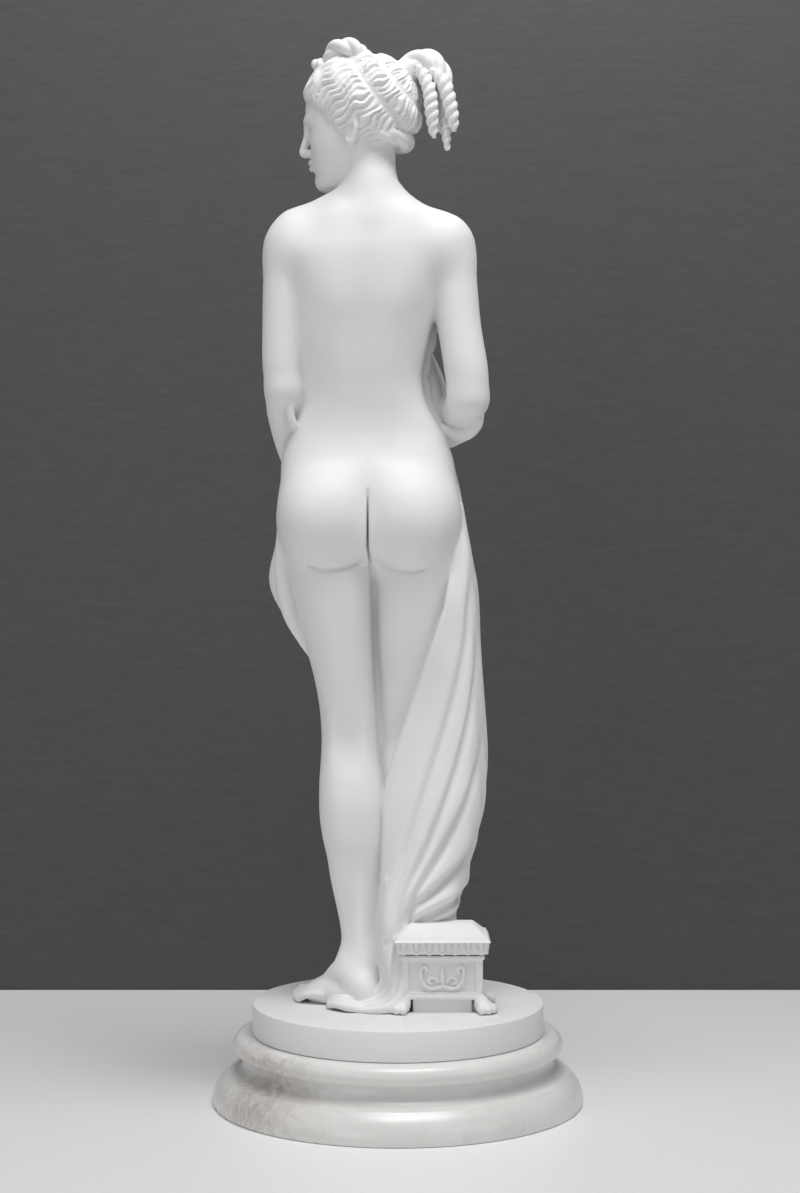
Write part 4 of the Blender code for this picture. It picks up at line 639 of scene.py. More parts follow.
def face(c):
    """A calm, even face with lowered lids."""
    d = joined(ball(c, (-4, 0, 28), (58, 43, 48)),
               (MASK.at(c.seen_from((0.0, 0.0, 0.0), MASK_AXES)), 8),
               (cords_at(c, JAW, 5), 12), (ball(c, (45, 0, -42.5), (10, 11.5, 9.5)), 8))
    if d is None:
        return None
    for s in SIDES:
        d = d - swell(c, (46, 24 * s, -5), (12, 8, 8), 1.6)
        hollow = ball(c, (62, EYE[1] * s, EYE[2]), (12, 11.5, 7.5))
        if hollow is not None:
            d = smooth_max(d, -hollow, 8)
        d = smooth_min(d, ball(c, (EYE[0], EYE[1] * s, EYE[2]), (8.0, 8.6, 6.6)), 1.5)
        lid = ball(c, (EYE[0], EYE[1] * s, EYE[2] + 0.2), (9.4, 9.8, 7.6))
        if lid is not None:
            droop = 0.035 * (c.y - EYE[1] * s) ** 2
            d = smooth_min(d, smooth_max(lid, EYE[2] + 1.6 - c.z - droop, 1.2), 1.2)
            d = smooth_min(d, smooth_max(lid, c.z - EYE[2] + 4.2 - droop, 1.2), 1.2)
    nostrils = [(ball(c, (58, 5.3 * s, -9.8), (4.6, 3.3, 3.6)), 2) for s in SIDES]
    d = joined(d, (cords_at(c, BROW, 3), 7), (NOSE.at(c), 6), (ball(c, (61, 0, -10), (6.3, 5.2, 3.8)), 3),
               *nostrils, (ball(c, (49, 0, -23), (8, 13, 9.5)), 8), (cords_at(c, LIPS, 1.5), 2),
               (LOWER_LIP.at(c), 2))
    return d - swell(c, (60, 0, -23.2), (5, 7, 0.9), -1.0) - swell(c, (56, 0, -33), (6, 8, 2.6), -1.1)


CAP_AT = (-4.0, 0.0, 29.0)
CAP_RADII = (60.0, 49.0, 55.0)
KNOT_WAY = np.array([-0.87, 0.0, 0.493])
KNOT_SIDE = np.array([0.0, 1.0, 0.0])
KNOT_OVER = np.cross(KNOT_WAY, KNOT_SIDE)
LOCKS = 46
BAND_AT = (40.0, 68.0)
BAND_HALF = 4.6


def hair(c):
    """Waved locks drawn back from the brow, held by two ribbons and gathered at the back."""
    if not c.near(-78, 75, -64, 64, -50, 98, 6):
        return None
    x, y, z = c.x - CAP_AT[0], c.y - CAP_AT[1], c.z - CAP_AT[2]
    q = np.sqrt((x / CAP_RADII[0]) ** 2 + (y / CAP_RADII[1]) ** 2 + (z / CAP_RADII[2]) ** 2) + 1e-9
    d = np.sqrt(x * x + y * y + z * z) * (1.0 - 1.0 / q)
    u = x * KNOT_WAY[0] + z * KNOT_WAY[2]
    v = x * KNOT_OVER[0] + z * KNOT_OVER[2]
    polar = np.degrees(np.arctan2(np.sqrt(y * y + v * v), u))
    around = np.arctan2(y, v)
    turn = np.radians(polar)
    open_up = np.clip((polar - 12) / 30, 0, 1)
    sway = 2.0 * np.sin(3 * around + 0.6) + 1.3 * np.sin(7 * around + 2)
    wave = 0.044 * np.sin(12.0 * turn + sway) + 0.010 * np.sin(23.0 * turn + 3 * around)
    lane = 0.5 * LOCKS * (around + wave * open_up) + 0.5 * np.sin(7 * around + 4 * turn)
    lock = np.abs(np.cos(lane)) ** 0.75
    deep = (3.7 + 1.1 * np.sin(2 * lane / 3.0 + 3 * turn)) * (0.45 + 0.55 * open_up)
    band = sum(np.exp(-(((polar - at) / BAND_HALF) ** 6)) for at in BAND_AT)
    full = 2.5 * np.sin(np.clip(polar / BAND_AT[0], 0, 1) * pi)
    full = full + 3.5 * np.sin(np.clip((polar - BAND_AT[0]) / (BAND_AT[1] - BAND_AT[0]), 0, 1) * pi)
    full = full + 4.5 * np.clip((polar - BAND_AT[1] - 2) / 20, 0, 1) ** 0.7
    d = d - full - deep * lock * (1 - band) - 2.6 * band + 2.4
    front = 0.80 * c.x - 0.60 * c.z - 17.0 + 0.0012 * c.y**2 + 1.7 * np.cos(2 * lane)
    nape = -c.z - 20.0 - 0.10 * c.x
    return smooth_max(d, smooth_max(front, nape, 6), 5)


def rope(points, count, radius, strands, lift, pitch, start=0.0):
    """A twisted lock: strands wound round a curve. Points are (x, y, z, share of the full thickness)."""
    line = curve_through(points, count)
    way = np.gradient(line[:, :3], axis=0)
    way = way / np.linalg.norm(way, axis=1)[:, None]
    across = np.cross(way, np.array([0.3, 0.9, 0.31]))
    across = across / np.linalg.norm(across, axis=1)[:, None]
    third = np.cross(way, across)
    steps = np.linalg.norm(np.diff(line[:, :3], axis=0), axis=1)
    run = np.concatenate([[0.0], np.cumsum(steps)])
    cords = [Cord(np.column_stack([line[:, :3], line[:, 3] * radius * 0.7]))]
    for k in range(strands):
        a = start + k * 2 * pi / strands + run * (2 * pi / pitch)
        off = (across * np.cos(a)[:, None] + third * np.sin(a)[:, None]) * (lift * line[:, 3])[:, None]
        cords.append(Cord(np.column_stack([line[:, :3] + off, line[:, 3] * radius])))
    return cords


TAIL = rope(((-52, 0, 55, 0.9), (-60, 0, 63, 1.0), (-73, 0, 66, 1.05), (-84, 0, 59, 1.0),
             (-90, 0, 45, 0.85), (-91, 0, 30, 0.6)), 40, 7.0, 4, 6.8, 110)
TAIL_TIE = Cord(((-49, 0, 53, 15.5), (-55, 0, 58, 15.0)), 4)
# hanging locks: path, radius, lift, pitch, start
RINGLET_ROWS = (
    (((-70, -10, 58, 0.8), (-78, -12, 38, 1.0), (-82, -11, 16, 1.0), (-84, -9, -2, 0.8),
     (-84, -8, -10, 0.45)), 4.7, 3.6, 19, 0.4),
    (((-84, 7, 52, 0.9), (-93, 9, 36, 1.0), (-96, 8, 14, 1.0), (-97, 7, -2, 0.8), (-97, 6, -11, 0.45)), 4.7,
     3.6, 19, 1.9),
    (((-80, 0, 40, 0.6), (-88, -2, 16, 0.75), (-88, -1, -6, 0.75), (-87, 0, -20, 0.6), (-87, 0, -28, 0.4)),
     4.5, 3.4, 17, 3.0),
    (((-70, 11, 56, 0.8), (-77, 14, 34, 0.95), (-77, 14, 10, 0.95), (-76, 12, -8, 0.7),
     (-76, 12, -16, 0.4)), 4.5, 3.5, 18, 4.4),
)
RINGLETS = [cord for path, radius, lift, pitch, start in RINGLET_ROWS
            for cord in rope(path, 48, radius, 2, lift, pitch, start)]
NAPE_ROLL = rope(((-18, 36, -8, 0.5), (-34, 26, -11, 0.9), (-43, 0, -13, 1.2), (-34, -26, -11, 0.9),
                  (-18, -36, -8, 0.5)), 40, 5.6, 3, 3.4, 44)
BOW_LOOPS = [rope(((26, 2 * side, 80, 0.8), (20, 9 * side, 88, 1.0), (7, 17 * side, 90, 1.1),
                   (-8, 22 * side, 84, 1.0), (-13, 22 * side, 75, 0.8)),
                   28, 5.6, 3, 4.4, 66) for side in SIDES]
BOW_KNOT = rope(((33, -8, 77, 0.8), (37, 0, 82, 1.0), (33, 8, 77, 0.8)), 12, 5.6, 2, 2.6, 30)
BOW = BOW_LOOPS[0] + BOW_LOOPS[1] + BOW_KNOT


def head(c):
    c = c.seen_from(HEAD_AT, HEAD_AXES)
    if not c.near(-118, 75, -64, 64, -60, 108):
        return None
    d = smooth_min(face(c), cords_at(c, EARS, 1.5), 1.5)
    tail = smooth_min(cords_at(c, TAIL, 1.0), TAIL_TIE.at(c), 1.5)
    behind_ears = [(ball(c, (3, 42 * s, -2), (8, 4.2, 13)), 1.0) for s in SIDES]
    return joined(d, *behind_ears, (hair(c), 1.2), (cords_at(c, NAPE_ROLL, 1.0), 2.0),
                  (cords_at(c, BOW, 1.0), 2.0), (tail, 2.0), (cords_at(c, RINGLETS, 0.8), 1.4))


# The cloth: level outlines round an upright axis, then its folds.
CLOTH_LEVELS = (
    (640, 33, -28, ((-29, -20), (-26, -46), (0, -62), (34, -64), (70, -60), (96, -44), (98, -18), (70, -6),
     (34, -4), (-4, -6))),
    (600, 33, -28, ((-44, -14), (-42, -44), (-12, -66), (34, -72), (78, -68), (106, -46), (108, -18),
     (80, -6), (34, -4), (-12, -4))),
    (540, 26, -30, ((-60, -4), (-60, -42), (-28, -70), (26, -78), (84, -76), (114, -52), (117, -24),
     (90, -4), (34, 0), (-26, 2))),
    (480, 22, -32, ((-68, 14), (-74, -12), (-70, -46), (-42, -70), (20, -82), (84, -82), (122, -54),
     (127, -22), (92, -4), (30, 4), (-30, 14))),
    (430, 14, -34, ((-66, 22), (-81, 2), (-80, -34), (-52, -72), (10, -88), (74, -84), (125, -52),
     (127, -18), (40, 10), (-30, 30))),
    (370, 0, -34, ((-30, 31), (-60, 27), (-82, 8), (-86, -28), (-66, -74), (-8, -92), (52, -86), (95, -54),
     (90, -20), (20, 10))),
    (310, -14, -32, ((-10, 22), (-44, 30), (-76, 18), (-90, -14), (-84, -58), (-38, -94), (20, -90),
     (64, -66), (56, -26), (16, 6))),
    (250, -22, -28, ((6, 20), (-26, 32), (-64, 28), (-88, 4), (-92, -40), (-62, -86), (-8, -96), (44, -78),
     (46, -32), (18, 2))),
    (200, -26, -25, ((12, 24), (-14, 36), (-52, 36), (-80, 16), (-89, -20), (-78, -70), (-32, -96),
     (26, -86), (40, -44), (20, 0))),
    (150, -28, -24, ((14, 28), (-10, 40), (-42, 40), (-66, 24), (-77, -10), (-70, -62), (-38, -96),
     (18, -88), (36, -48), (20, 0))),
    (105, -28, -24, ((15, 30), (-6, 43), (-34, 42), (-56, 28), (-62, -6), (-56, -60), (-38, -98), (14, -92),
     (34, -52), (20, 0))),
    (50, -28, -24, ((15, 32), (-2, 45), (-34, 30), (-60, 14), (-58, -14), (-54, -62), (-44, -100),
     (12, -96), (34, -56), (20, 0))),
    (-8, -28, -24, ((16, 36), (2, 50), (-34, 24), (-66, 8), (-78, -18), (-80, -66), (-50, -106), (12, -102),
     (38, -58), (22, 0))),
)
# where the cloth ends behind, as (z, x)
EDGE_ROWS = np.array((
    (-10, 60), (150, 60), (200, 24), (225, 14), (255, 5), (290, -7), (330, -21), (370, -34), (410, -47),
    (450, -54), (490, -59.5), (515, -63), (540, -78), (570, -110), (640, -200),
), float)
ROUND_STEPS = 480
LEVEL_STEPS = 440

# folds: path of (x, z), height, width above, width below, depth of the crease
BACK_FOLDS = (
    (((-70, 486), (-66, 420), (-56, 350), (-38, 280), (-18, 216), (-2, 160), (9, 110), (13, 50)), 3.0, 11,
     4.5, 2.2),
    (((-77, 420), (-74, 350), (-62, 284), (-44, 222), (-24, 170), (-4, 124), (7, 76)), 4.0, 13, 4.0, 3.4),
    (((-86, 330), (-80, 270), (-62, 212), (-36, 162), (-12, 122), (0, 84), (5, 30)), 4.6, 15, 4.4, 4.0),
    (((-92, 250), (-86, 200), (-66, 160), (-36, 130), (-10, 108), (0, 80), (4, 20)), 6.0, 15, 5.0, 5.0),
    (((-84, 150), (-66, 122), (-40, 108), (-16, 96), (-3, 74), (2, 30), (6, 0)), 6.5, 10, 5.0, 5.0),
    (((-80, 112), (-54, 98), (-28, 88), (-12, 72)), 4.0, 6, 3.6, 3.0),
)
FRONT_FOLDS = (
    (((22, 640), (-8, 590), (-40, 520), (-62, 430), (-74, 330), (-80, 200), (-82, 60), (-84, -8)), 5.0, 10,
     4.5, 4.0),
    (((24, 632), (2, 570), (-22, 490), (-42, 390), (-56, 280), (-64, 150), (-66, -8)), 5.5, 10, 4.5, 4.5),
    (((26, 628), (12, 560), (-2, 470), (-16, 360), (-28, 250), (-40, 130), (-46, -8)), 5.5, 11, 4.5, 4.5),
    (((30, 626), (26, 550), (20, 450), (10, 350), (-4, 240), (-18, 120), (-24, -8)), 5.5, 10, 4.5, 4.5),
    (((76, 500), (62, 440), (44, 370), (24, 290), (6, 190), (-4, 90), (-4, -8)), 5.5, 10, 4.5, 4.5),
    (((82, 496), (76, 430), (62, 360), (44, 280), (26, 180), (14, 80), (12, -8)), 5.5, 9, 4.5, 4.5),
    (((88, 494), (92, 430), (84, 370), (66, 300), (46, 210), (32, 100), (28, -8)), 5.0, 8, 4.5, 4.0),
    (((40, 628), (58, 590), (84, 560), (108, 540)), 4.0, 8, 4.0, 3.0),
    (((38, 622), (52, 570), (74, 530)), 4.0, 8, 4.0, 3.0),
    (((34, 612), (44, 560), (60, 520), (72, 508)), 3.5, 8, 4.0, 3.0),
)


def fold_relief(x, z, path, height, above, below, crease):
    """Height of one fold over points (x, z) seen square on."""
    path = curve_through(np.array(path, float), 26)
    nearest = np.full(x.shape, 1e9)
    signed = np.zeros(x.shape)
    along = np.zeros(x.shape)
    for i, (a, b) in enumerate(zip(path, path[1:])):
        dx, dz = b - a
        length = dx * dx + dz * dz
        t = np.clip(((x - a[0]) * dx + (z - a[1]) * dz) / length, 0, 1)
        u, v = x - a[0] - t * dx, z - a[1] - t * dz
        e = u * u + v * v
        closer = e < nearest
        nearest = np.where(closer, e, nearest)
        signed = np.where(closer, np.sqrt(e) * np.sign(dx * v - dz * u), signed)
        along = np.where(closer, (i + t) / (len(path) - 1), along)
    fade = np.clip(along / 0.16, 0, 1) * np.clip((1.04 - along) / 0.10, 0, 1)
    width = np.where(signed > 0, above, below)
    h = height * np.exp(-((signed / width) ** 2))
    h = h - crease * np.exp(-(((signed + 2.0 * below) / (0.75 * below)) ** 2))
    return h * fade * fade * (3 - 2 * fade)


def cloth_table():
    """The radius of the cloth about its axis, by turn and by level, with the steepness of its surface."""
    turns = np.linspace(-pi, pi, ROUND_STEPS + 1)
    radii = []
    for z, ax, ay, outline in CLOTH_LEVELS:
        loop = np.array(outline + outline[:3], float)
        loop = curve_through(loop, 12 * len(loop))
        loop = loop[12:12 + 12 * len(outline) + 8]
        angle = np.arctan2(loop[:, 1] - ay, loop[:, 0] - ax)
        r = np.hypot(loop[:, 0] - ax, loop[:, 1] - ay)
        order = np.argsort(angle)
        radii.append(np.interp(turns, angle[order], r[order], period=2 * pi))
    rows = np.column_stack([[row[:3] for row in CLOTH_LEVELS], np.array(radii)])[::-1]
    rows = curve_through(rows, 40 * len(rows))
    levels = np.linspace(rows[0, 0], rows[-1, 0], LEVEL_STEPS)
    grid = np.array([np.interp(levels, rows[:, 0], rows[:, i]) for i in range(1, rows.shape[1])])
    ax, ay, r = grid[0], grid[1], grid[2:]
    x = ax + r * np.cos(turns)[:, None]
    y = ay + r * np.sin(turns)[:, None]
    z = np.broadcast_to(levels, x.shape)
    back = np.clip((y + 24) / 14, 0, 1)
    calm = np.clip((x + 90) / 20, 0.25, 1)
    for folds, shown in ((BACK_FOLDS, back), (FRONT_FOLDS, 1 - back)):
        for fold in folds:
            r = r + fold_relief(x, z, *fold) * shown * calm
    at_side = np.exp(-((np.abs(np.sin(turns)) / 0.62) ** 4))[:, None]
    r = r + 0.7 * at_side * np.sin(21 * turns[:, None] + 0.020 * levels + 0.8 * np.sin(0.03 * levels))
    round_slope = np.gradient(r, turns, axis=0) / np.maximum(r, 5)
    level_slope = np.gradient(r, levels, axis=1)
    steep = np.sqrt(1 + np.clip(round_slope, -2, 2) ** 2 + np.clip(level_slope, -2, 2) ** 2)
    return levels, ax, ay, r, steep


LEVELS, AXIS_X, AXIS_Y, CLOTH_RADIUS, CLOTH_STEEP = cloth_table()


def skirt(c):
    if not c.near(-98, 132, -112, 60, -10, 640):
        return None
    z = np.clip(c.z, LEVELS[0], LEVELS[-1])
    x, y = c.x - np.interp(z, LEVELS, AXIS_X), c.y - np.interp(z, LEVELS, AXIS_Y)
    u = (np.arctan2(y, x) + pi) * (ROUND_STEPS / (2 * pi))
    v = (z - LEVELS[0]) / (LEVELS[1] - LEVELS[0])
    i = np.clip(u.astype(int), 0, ROUND_STEPS - 1)
    j = np.clip(v.astype(int), 0, LEVEL_STEPS - 2)
    u, v = u - i, v - j

    def look_up(table):
        low = table[i, j] * (1 - u) + table[i + 1, j] * u
        high = table[i, j + 1] * (1 - u) + table[i + 1, j + 1] * u
        return low * (1 - v) + high * v

    d = (np.sqrt(x * x + y * y) - look_up(CLOTH_RADIUS)) / look_up(CLOTH_STEEP)
    edge = (c.x - np.interp(c.z, EDGE_ROWS[:, 0], EDGE_ROWS[:, 1])) * 0.9
    edge = np.minimum(edge, c.y + 15)
    d = smooth_max(d, edge, 4)
    return smooth_max(d, c.z - 632, 8)


def bodice(c):
    """The cloth over the bust and waist, in level swags."""
    d = BODICE.at(c)
    if d is None:
        return None
    d = smooth_min(d, bust(c), 8) - 3.0
    sag = c.z + 0.0042 * (c.x - 30) ** 2
    d = d - 2.4 * np.abs(np.cos(pi * sag / 24.0 + 0.03 * c.x)) ** 0.8
    d = smooth_max(d, c.z - 768 + 0.0035 * (c.x - 34) ** 2, 5)
    return smooth_max(d, c.y + 14, 5)


BODICE = Loft([(z, x, a + 3.5 - 0.17 * max(640 - z, 0), yf - 7, yb)
               for z, x, a, yf, yb in TORSO_ROWS if 540 <= z <= 770], 2.35)


def fan(first, last, count):
    """Cords spread evenly from one path to another."""
    first, last = np.array(first, float), np.array(last, float)
    return [Cord(first + (last - first) * (i / (count - 1)), 17) for i in range(count)]


SIDE_FOLDS = (
    fan(((112, -14, 540, 4), (118, -4, 500, 7), (119, -2, 445, 10), (112, -4, 404, 9), (98, -10, 370, 4)),
        ((100, -58, 545, 4), (110, -54, 500, 8), (112, -54, 440, 10), (102, -54, 390, 9),
         (86, -52, 350, 4)), 5)
    + fan(((100, 2, 662, 2.5), (105, 9, 640, 4), (112, 13, 614, 4.5), (107, 8, 598, 4.5),
           (95, -4, 590, 4.5)),
          ((104, -30, 658, 4), (114, -24, 632, 5), (123, -20, 606, 5), (115, -24, 588, 5),
           (98, -34, 580, 5)), 6)
    + fan(((-88, -12, 618, 3), (-82, -10, 600, 6), (-68, -12, 590, 7), (-52, -16, 594, 6),
           (-36, -22, 604, 5)),
          ((-72, -44, 612, 4), (-68, -42, 596, 6), (-56, -42, 586, 7), (-42, -44, 590, 6),
           (-26, -50, 600, 5)), 4)
    + fan(((-24, -34, 690, 5), (-30, -34, 665, 9), (-34, -32, 640, 12), (-36, -30, 612, 11)),
          ((-26, -46, 690, 5), (-34, -46, 665, 9), (-40, -44, 640, 12), (-42, -42, 612, 11)), 2)
)
HELD = fan(((0, -88, 662, 4), (10, -86, 640, 6), (8, -78, 612, 7), (-8, -72, 580, 6)),
           ((30, -90, 640, 4), (32, -84, 626, 6), (40, -80, 600, 7), (46, -76, 570, 6)), 4)
LEFT_HELD = fan(((72, -94, 500, 5), (66, -90, 476, 7), (58, -86, 440, 8), (48, -84, 400, 6)),
                ((92, -84, 500, 5), (96, -78, 476, 7), (98, -74, 440, 8), (92, -70, 400, 6)), 3)
HEM = (
    fan(((10, 36, 130, 4), (9, 41, 84, 5.5), (11, 43, 44, 5.5), (17, 42, 18, 6), (34, 42, 8, 5),
         (52, 38, 5, 4)),
        ((-6, 42, 98, 4), (-6, 52, 52, 5.5), (-4, 60, 22, 5.5), (5, 66, 8, 5.5), (20, 68, 4, 4.5),
         (40, 62, 2, 3)), 4)
    + fan(((36, 60, 3, 4), (50, 62, 5, 4), (62, 54, 6, 3.5), (70, 44, 4, 3.5)),
          ((40, 44, 6, 4.5), (54, 44, 10, 4.5), (64, 38, 9, 4), (70, 30, 5, 3.5)), 3)
)


def cloth(c):
    return joined(skirt(c), (bodice(c), 6), (cords_at(c, SIDE_FOLDS, 3.0), 3),
                  (cords_at(c, HELD + LEFT_HELD, 3.5), 4), (cords_at(c, HEM, 1.4), 2.5))


# The casket on its four paws, beside her right foot.
CASKET_X, CASKET_Y = -45.0, 36.0
CASKET_HALF_X, CASKET_HALF_Y = 41.0, 27.0
CASKET_FOOT = 13.0
CASKET_TOP = 57.0
LID_EAVE = 76.0
LID_TOP = 88.0
EGGS = (7, 5)


def scroll_work():
    cords = []
    for way in SIDES:
        face_y = CASKET_Y + way * (CASKET_HALF_Y - 0.6)
        for s in SIDES:
            stem = ((2, 26), (9, 24), (16, 26), (21, 32), (22, 40), (20, 46), (16, 45), (16.5, 41))
            cords.append(Cord([(CASKET_X + s * x, face_y, z, 1.9) for x, z in stem], 25))
            leaf = ((4, 31), (8, 35), (13, 34), (14, 30.5), (11, 29.5))
            cords.append(Cord([(CASKET_X + s * x, face_y, z, 1.5) for x, z in leaf], 13))
        bud = ((28, 1.4), (34, 2.4), (41, 1.8), (46, 1.0))
        cords.append(Cord([(CASKET_X, face_y, z, r) for z, r in bud], 9))
    return cords


SCROLLS = scroll_work()


def egg_band():
    """Eggs in U-shaped rims, side by side round the edge of the lid."""
    rim = ((-0.92, 6.5, 1.2), (-0.80, -1.5, 1.4), (-0.45, -6.2, 1.5), (0, -7.6, 1.5), (0.45, -6.2, 1.5),
           (0.80, -1.5, 1.4), (0.92, 6.5, 1.2))
    egg = ((0, 5.0, 2.6), (0, -2.6, 2.2))
    middle = 0.5 * (LID_EAVE + CASKET_TOP) + 1
    cords = []
    for count, half, out, along_x in ((EGGS[0], CASKET_HALF_X + 4.5, CASKET_HALF_Y + 4.2, True),
                                      (EGGS[1], CASKET_HALF_Y + 4.5, CASKET_HALF_X + 4.2, False)):
        room = half / count
        for i in range(count):
            step = (2 * i + 1 - count) * room
            for side in SIDES:
                for line in (rim, egg):
                    rows = [(step + u * room, side * out, middle + z, r) for u, z, r in line]
                    if along_x:
                        rows = [(CASKET_X + u, CASKET_Y + v, z, r) for u, v, z, r in rows]
                    else:
                        rows = [(CASKET_X + v, CASKET_Y + u, z, r) for u, v, z, r in rows]
                    cords.append(Cord(rows))
    return cords


EGG_BAND = egg_band()


def paws():
    """A broad foot with four toes under each corner."""
    cords = []
    for sx in SIDES:
        for sy in SIDES:
            x, y = CASKET_X + sx * CASKET_HALF_X, CASKET_Y + sy * CASKET_HALF_Y
            cords.append(Cord(((x - 3 * sx, y - 3 * sy, 13, 6), (x - sx, y - sy, 9, 8), (x, y, 7, 8.5))))
            for k in range(4):
                a = (k - 1.5) * 0.60
                dx, dy = 0.72 * sx * (cos(a) - sin(a)), 0.72 * sy * (sin(a) + cos(a))
                toe = ((x + 5 * dx, y + 5 * dy, 7.5, 4.4), (x + 11 * dx, y + 11 * dy, 4.4, 4.3))
                cords.append(Cord(toe))
    return cords


PAWS = paws()


def casket(c):
    if not c.near(-105, 12, -8, 82, -6, 98):
        return None
    x0, y0, hx, hy = CASKET_X, CASKET_Y, CASKET_HALF_X, CASKET_HALF_Y
    middle, half = 0.5 * (CASKET_TOP + CASKET_FOOT), 0.5 * (CASKET_TOP - CASKET_FOOT)
    d = block(c, (x0, y0, middle), (hx, hy, half), 1.0)
    recessed_base = block(c, (x0, y0, 0.5 * CASKET_FOOT), (hx - 11, hy - 3, 0.5 * CASKET_FOOT + 1), 1.2)
    d = smooth_min(d, recessed_base, 0.6)
    for s in SIDES:
        ends = block(c, (x0 + s * hx, y0, 36), (2.0, hy - 7, 15), 0.3)
        sides = block(c, (x0, y0 + s * hy, 36), (hx - 7, 2.0, 15), 0.3)
        for panel in (ends, sides):
            if panel is not None and d is not None:
                d = smooth_max(d, -panel, 0.5)
    lid_middle, lid_half = 0.5 * (LID_EAVE + CASKET_TOP), 0.5 * (LID_EAVE - CASKET_TOP)
    for z, out, half_z, rounding, blend in (
        (CASKET_FOOT + 2.5, 1.6, 2.0, 0.9, 0.5), (CASKET_TOP - 1.5, 1.8, 2.0, 1.0, 0.6),
        (lid_middle + 1, 4, lid_half - 1, 2.0, 0.8), (LID_EAVE - 1, 5.5, 2.0, 1.2, 0.8),
    ):
        d = smooth_min(d, block(c, (x0, y0, z), (hx + out, hy + out, half_z), rounding), blend)
    rise = c.z - LID_EAVE
    roof = np.maximum(np.abs(c.x - x0) - hx - 4 + 1.1 * rise, np.abs(c.y - y0) - hy - 4 + 1.6 * rise)
    roof = np.maximum(roof, np.maximum(c.z - LID_TOP, LID_EAVE - 4 - c.z)) * 0.6
    return joined(d, (roof, 0.6), (cords_at(c, SCROLLS, 0.6), 0.7), (cords_at(c, EGG_BAND, 0.4), 0.5),
                  (cords_at(c, PAWS, 1.2), 1.5))


def figure(c):
    """Distance from the surface of the whole figure, less than zero inside."""
    shoulders = [(ball(c, at, (27, 31, 34)), 22) for at in SHOULDERS]
    skin = joined(TORSO.at(c), (NECK.at(c), 8), (cords_at(c, YOKE, 10), 10), *shoulders,
                  (cords_at(c, COLLAR, 3), 9), (bust(c), 10), (legs(c), 20), (arms(c), 7))
    if skin is None:
        skin = np.full(c.x.shape, FAR)
    skin = skin - back_relief(c) - leg_relief(c) - seat_relief(c)
    cleft = seat_cleft(c)
    if cleft is not None:
        skin = smooth_max(skin, -cleft, 4.5)
    hands = [(cords_at(c, parts, 2.0), 4) for parts in HANDS]
    d = joined(skin, (cords_at(c, LEFT_FOOT, 4), 9), (cords_at(c, RIGHT_FOOT, 4), 6), *hands,
               (head(c), 5), (cloth(c), 1.6), (casket(c), 1.2))
    return np.maximum(d, -(c.z + ROOT_DEPTH))


def new_object(name, mesh, slot=None, replaced=None):
    item = bpy.data.objects.new(name, mesh)
    bpy.context.scene.collection.objects.link(item)
    if slot:
        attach(item, "root")
        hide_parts(replaced)
    return item


def settled(item, name):
    """The item's mesh with its modifiers applied."""
    bpy.context.view_layer.update()
    graph = bpy.context.evaluated_depsgraph_get()
    mesh = bpy.data.meshes.new_from_object(item.evaluated_get(graph))
    mesh.name = name
    return mesh


def turned(name, outline, sharp):
    """A solid turned about +Z from its outline of (radius, z), from the bottom middle to the top middle."""
    bm = bmesh.new()
    rings = []
    for radius, z in outline:
        if radius == 0:
            rings.append([bm.verts.new((0, 0, z))])
        else:
            angles = (2 * pi * i / TURN_SIDES for i in range(TURN_SIDES))
            rings.append([bm.verts.new((radius * cos(a), radius * sin(a), z)) for a in angles])
    for low, high in zip(rings, rings[1:]):
        for i in range(TURN_SIDES):
            j = (i + 1) % TURN_SIDES
            if len(low) == 1:
                bm.faces.new((low[0], high[j], high[i]))
            elif len(high) == 1:
                bm.faces.new((low[i], low[j], high[0]))
            else:
                bm.faces.new((low[i], low[j], high[j], high[i]))
    bmesh.ops.recalc_face_normals(bm, faces=bm.faces)
    mesh = bpy.data.meshes.new(name)
    bm.to_mesh(mesh)
    bm.free()
    mesh.shade_smooth()
    mesh.set_sharp_from_angle(angle=radians(sharp))
    return mesh


def arc(centre_r, centre_z, radius_r, radius_z, start, stop, steps):
    """Points of an elliptic arc in the (radius, z) plane, angles in degrees from the outward direction."""
    points = []
    for i in range(steps + 1):
        a = radians(start + (stop - start) * i / steps)
        points.append((centre_r + radius_r * cos(a), centre_z + radius_z * sin(a)))
    return points


def level_lines():
    """Upright spacing of the grid: close at the casket and feet, closer still at the head."""
    low = np.arange(-ROOT_DEPTH - 2, LOW_TOP, LOW_STEP)
    middle = np.arange(low[-1] + MIDDLE_STEP, MIDDLE_TOP, MIDDLE_STEP)
    return np.concatenate([low, middle, np.arange(middle[-1] + HEAD_STEP, GRID_TOP, HEAD_STEP)])


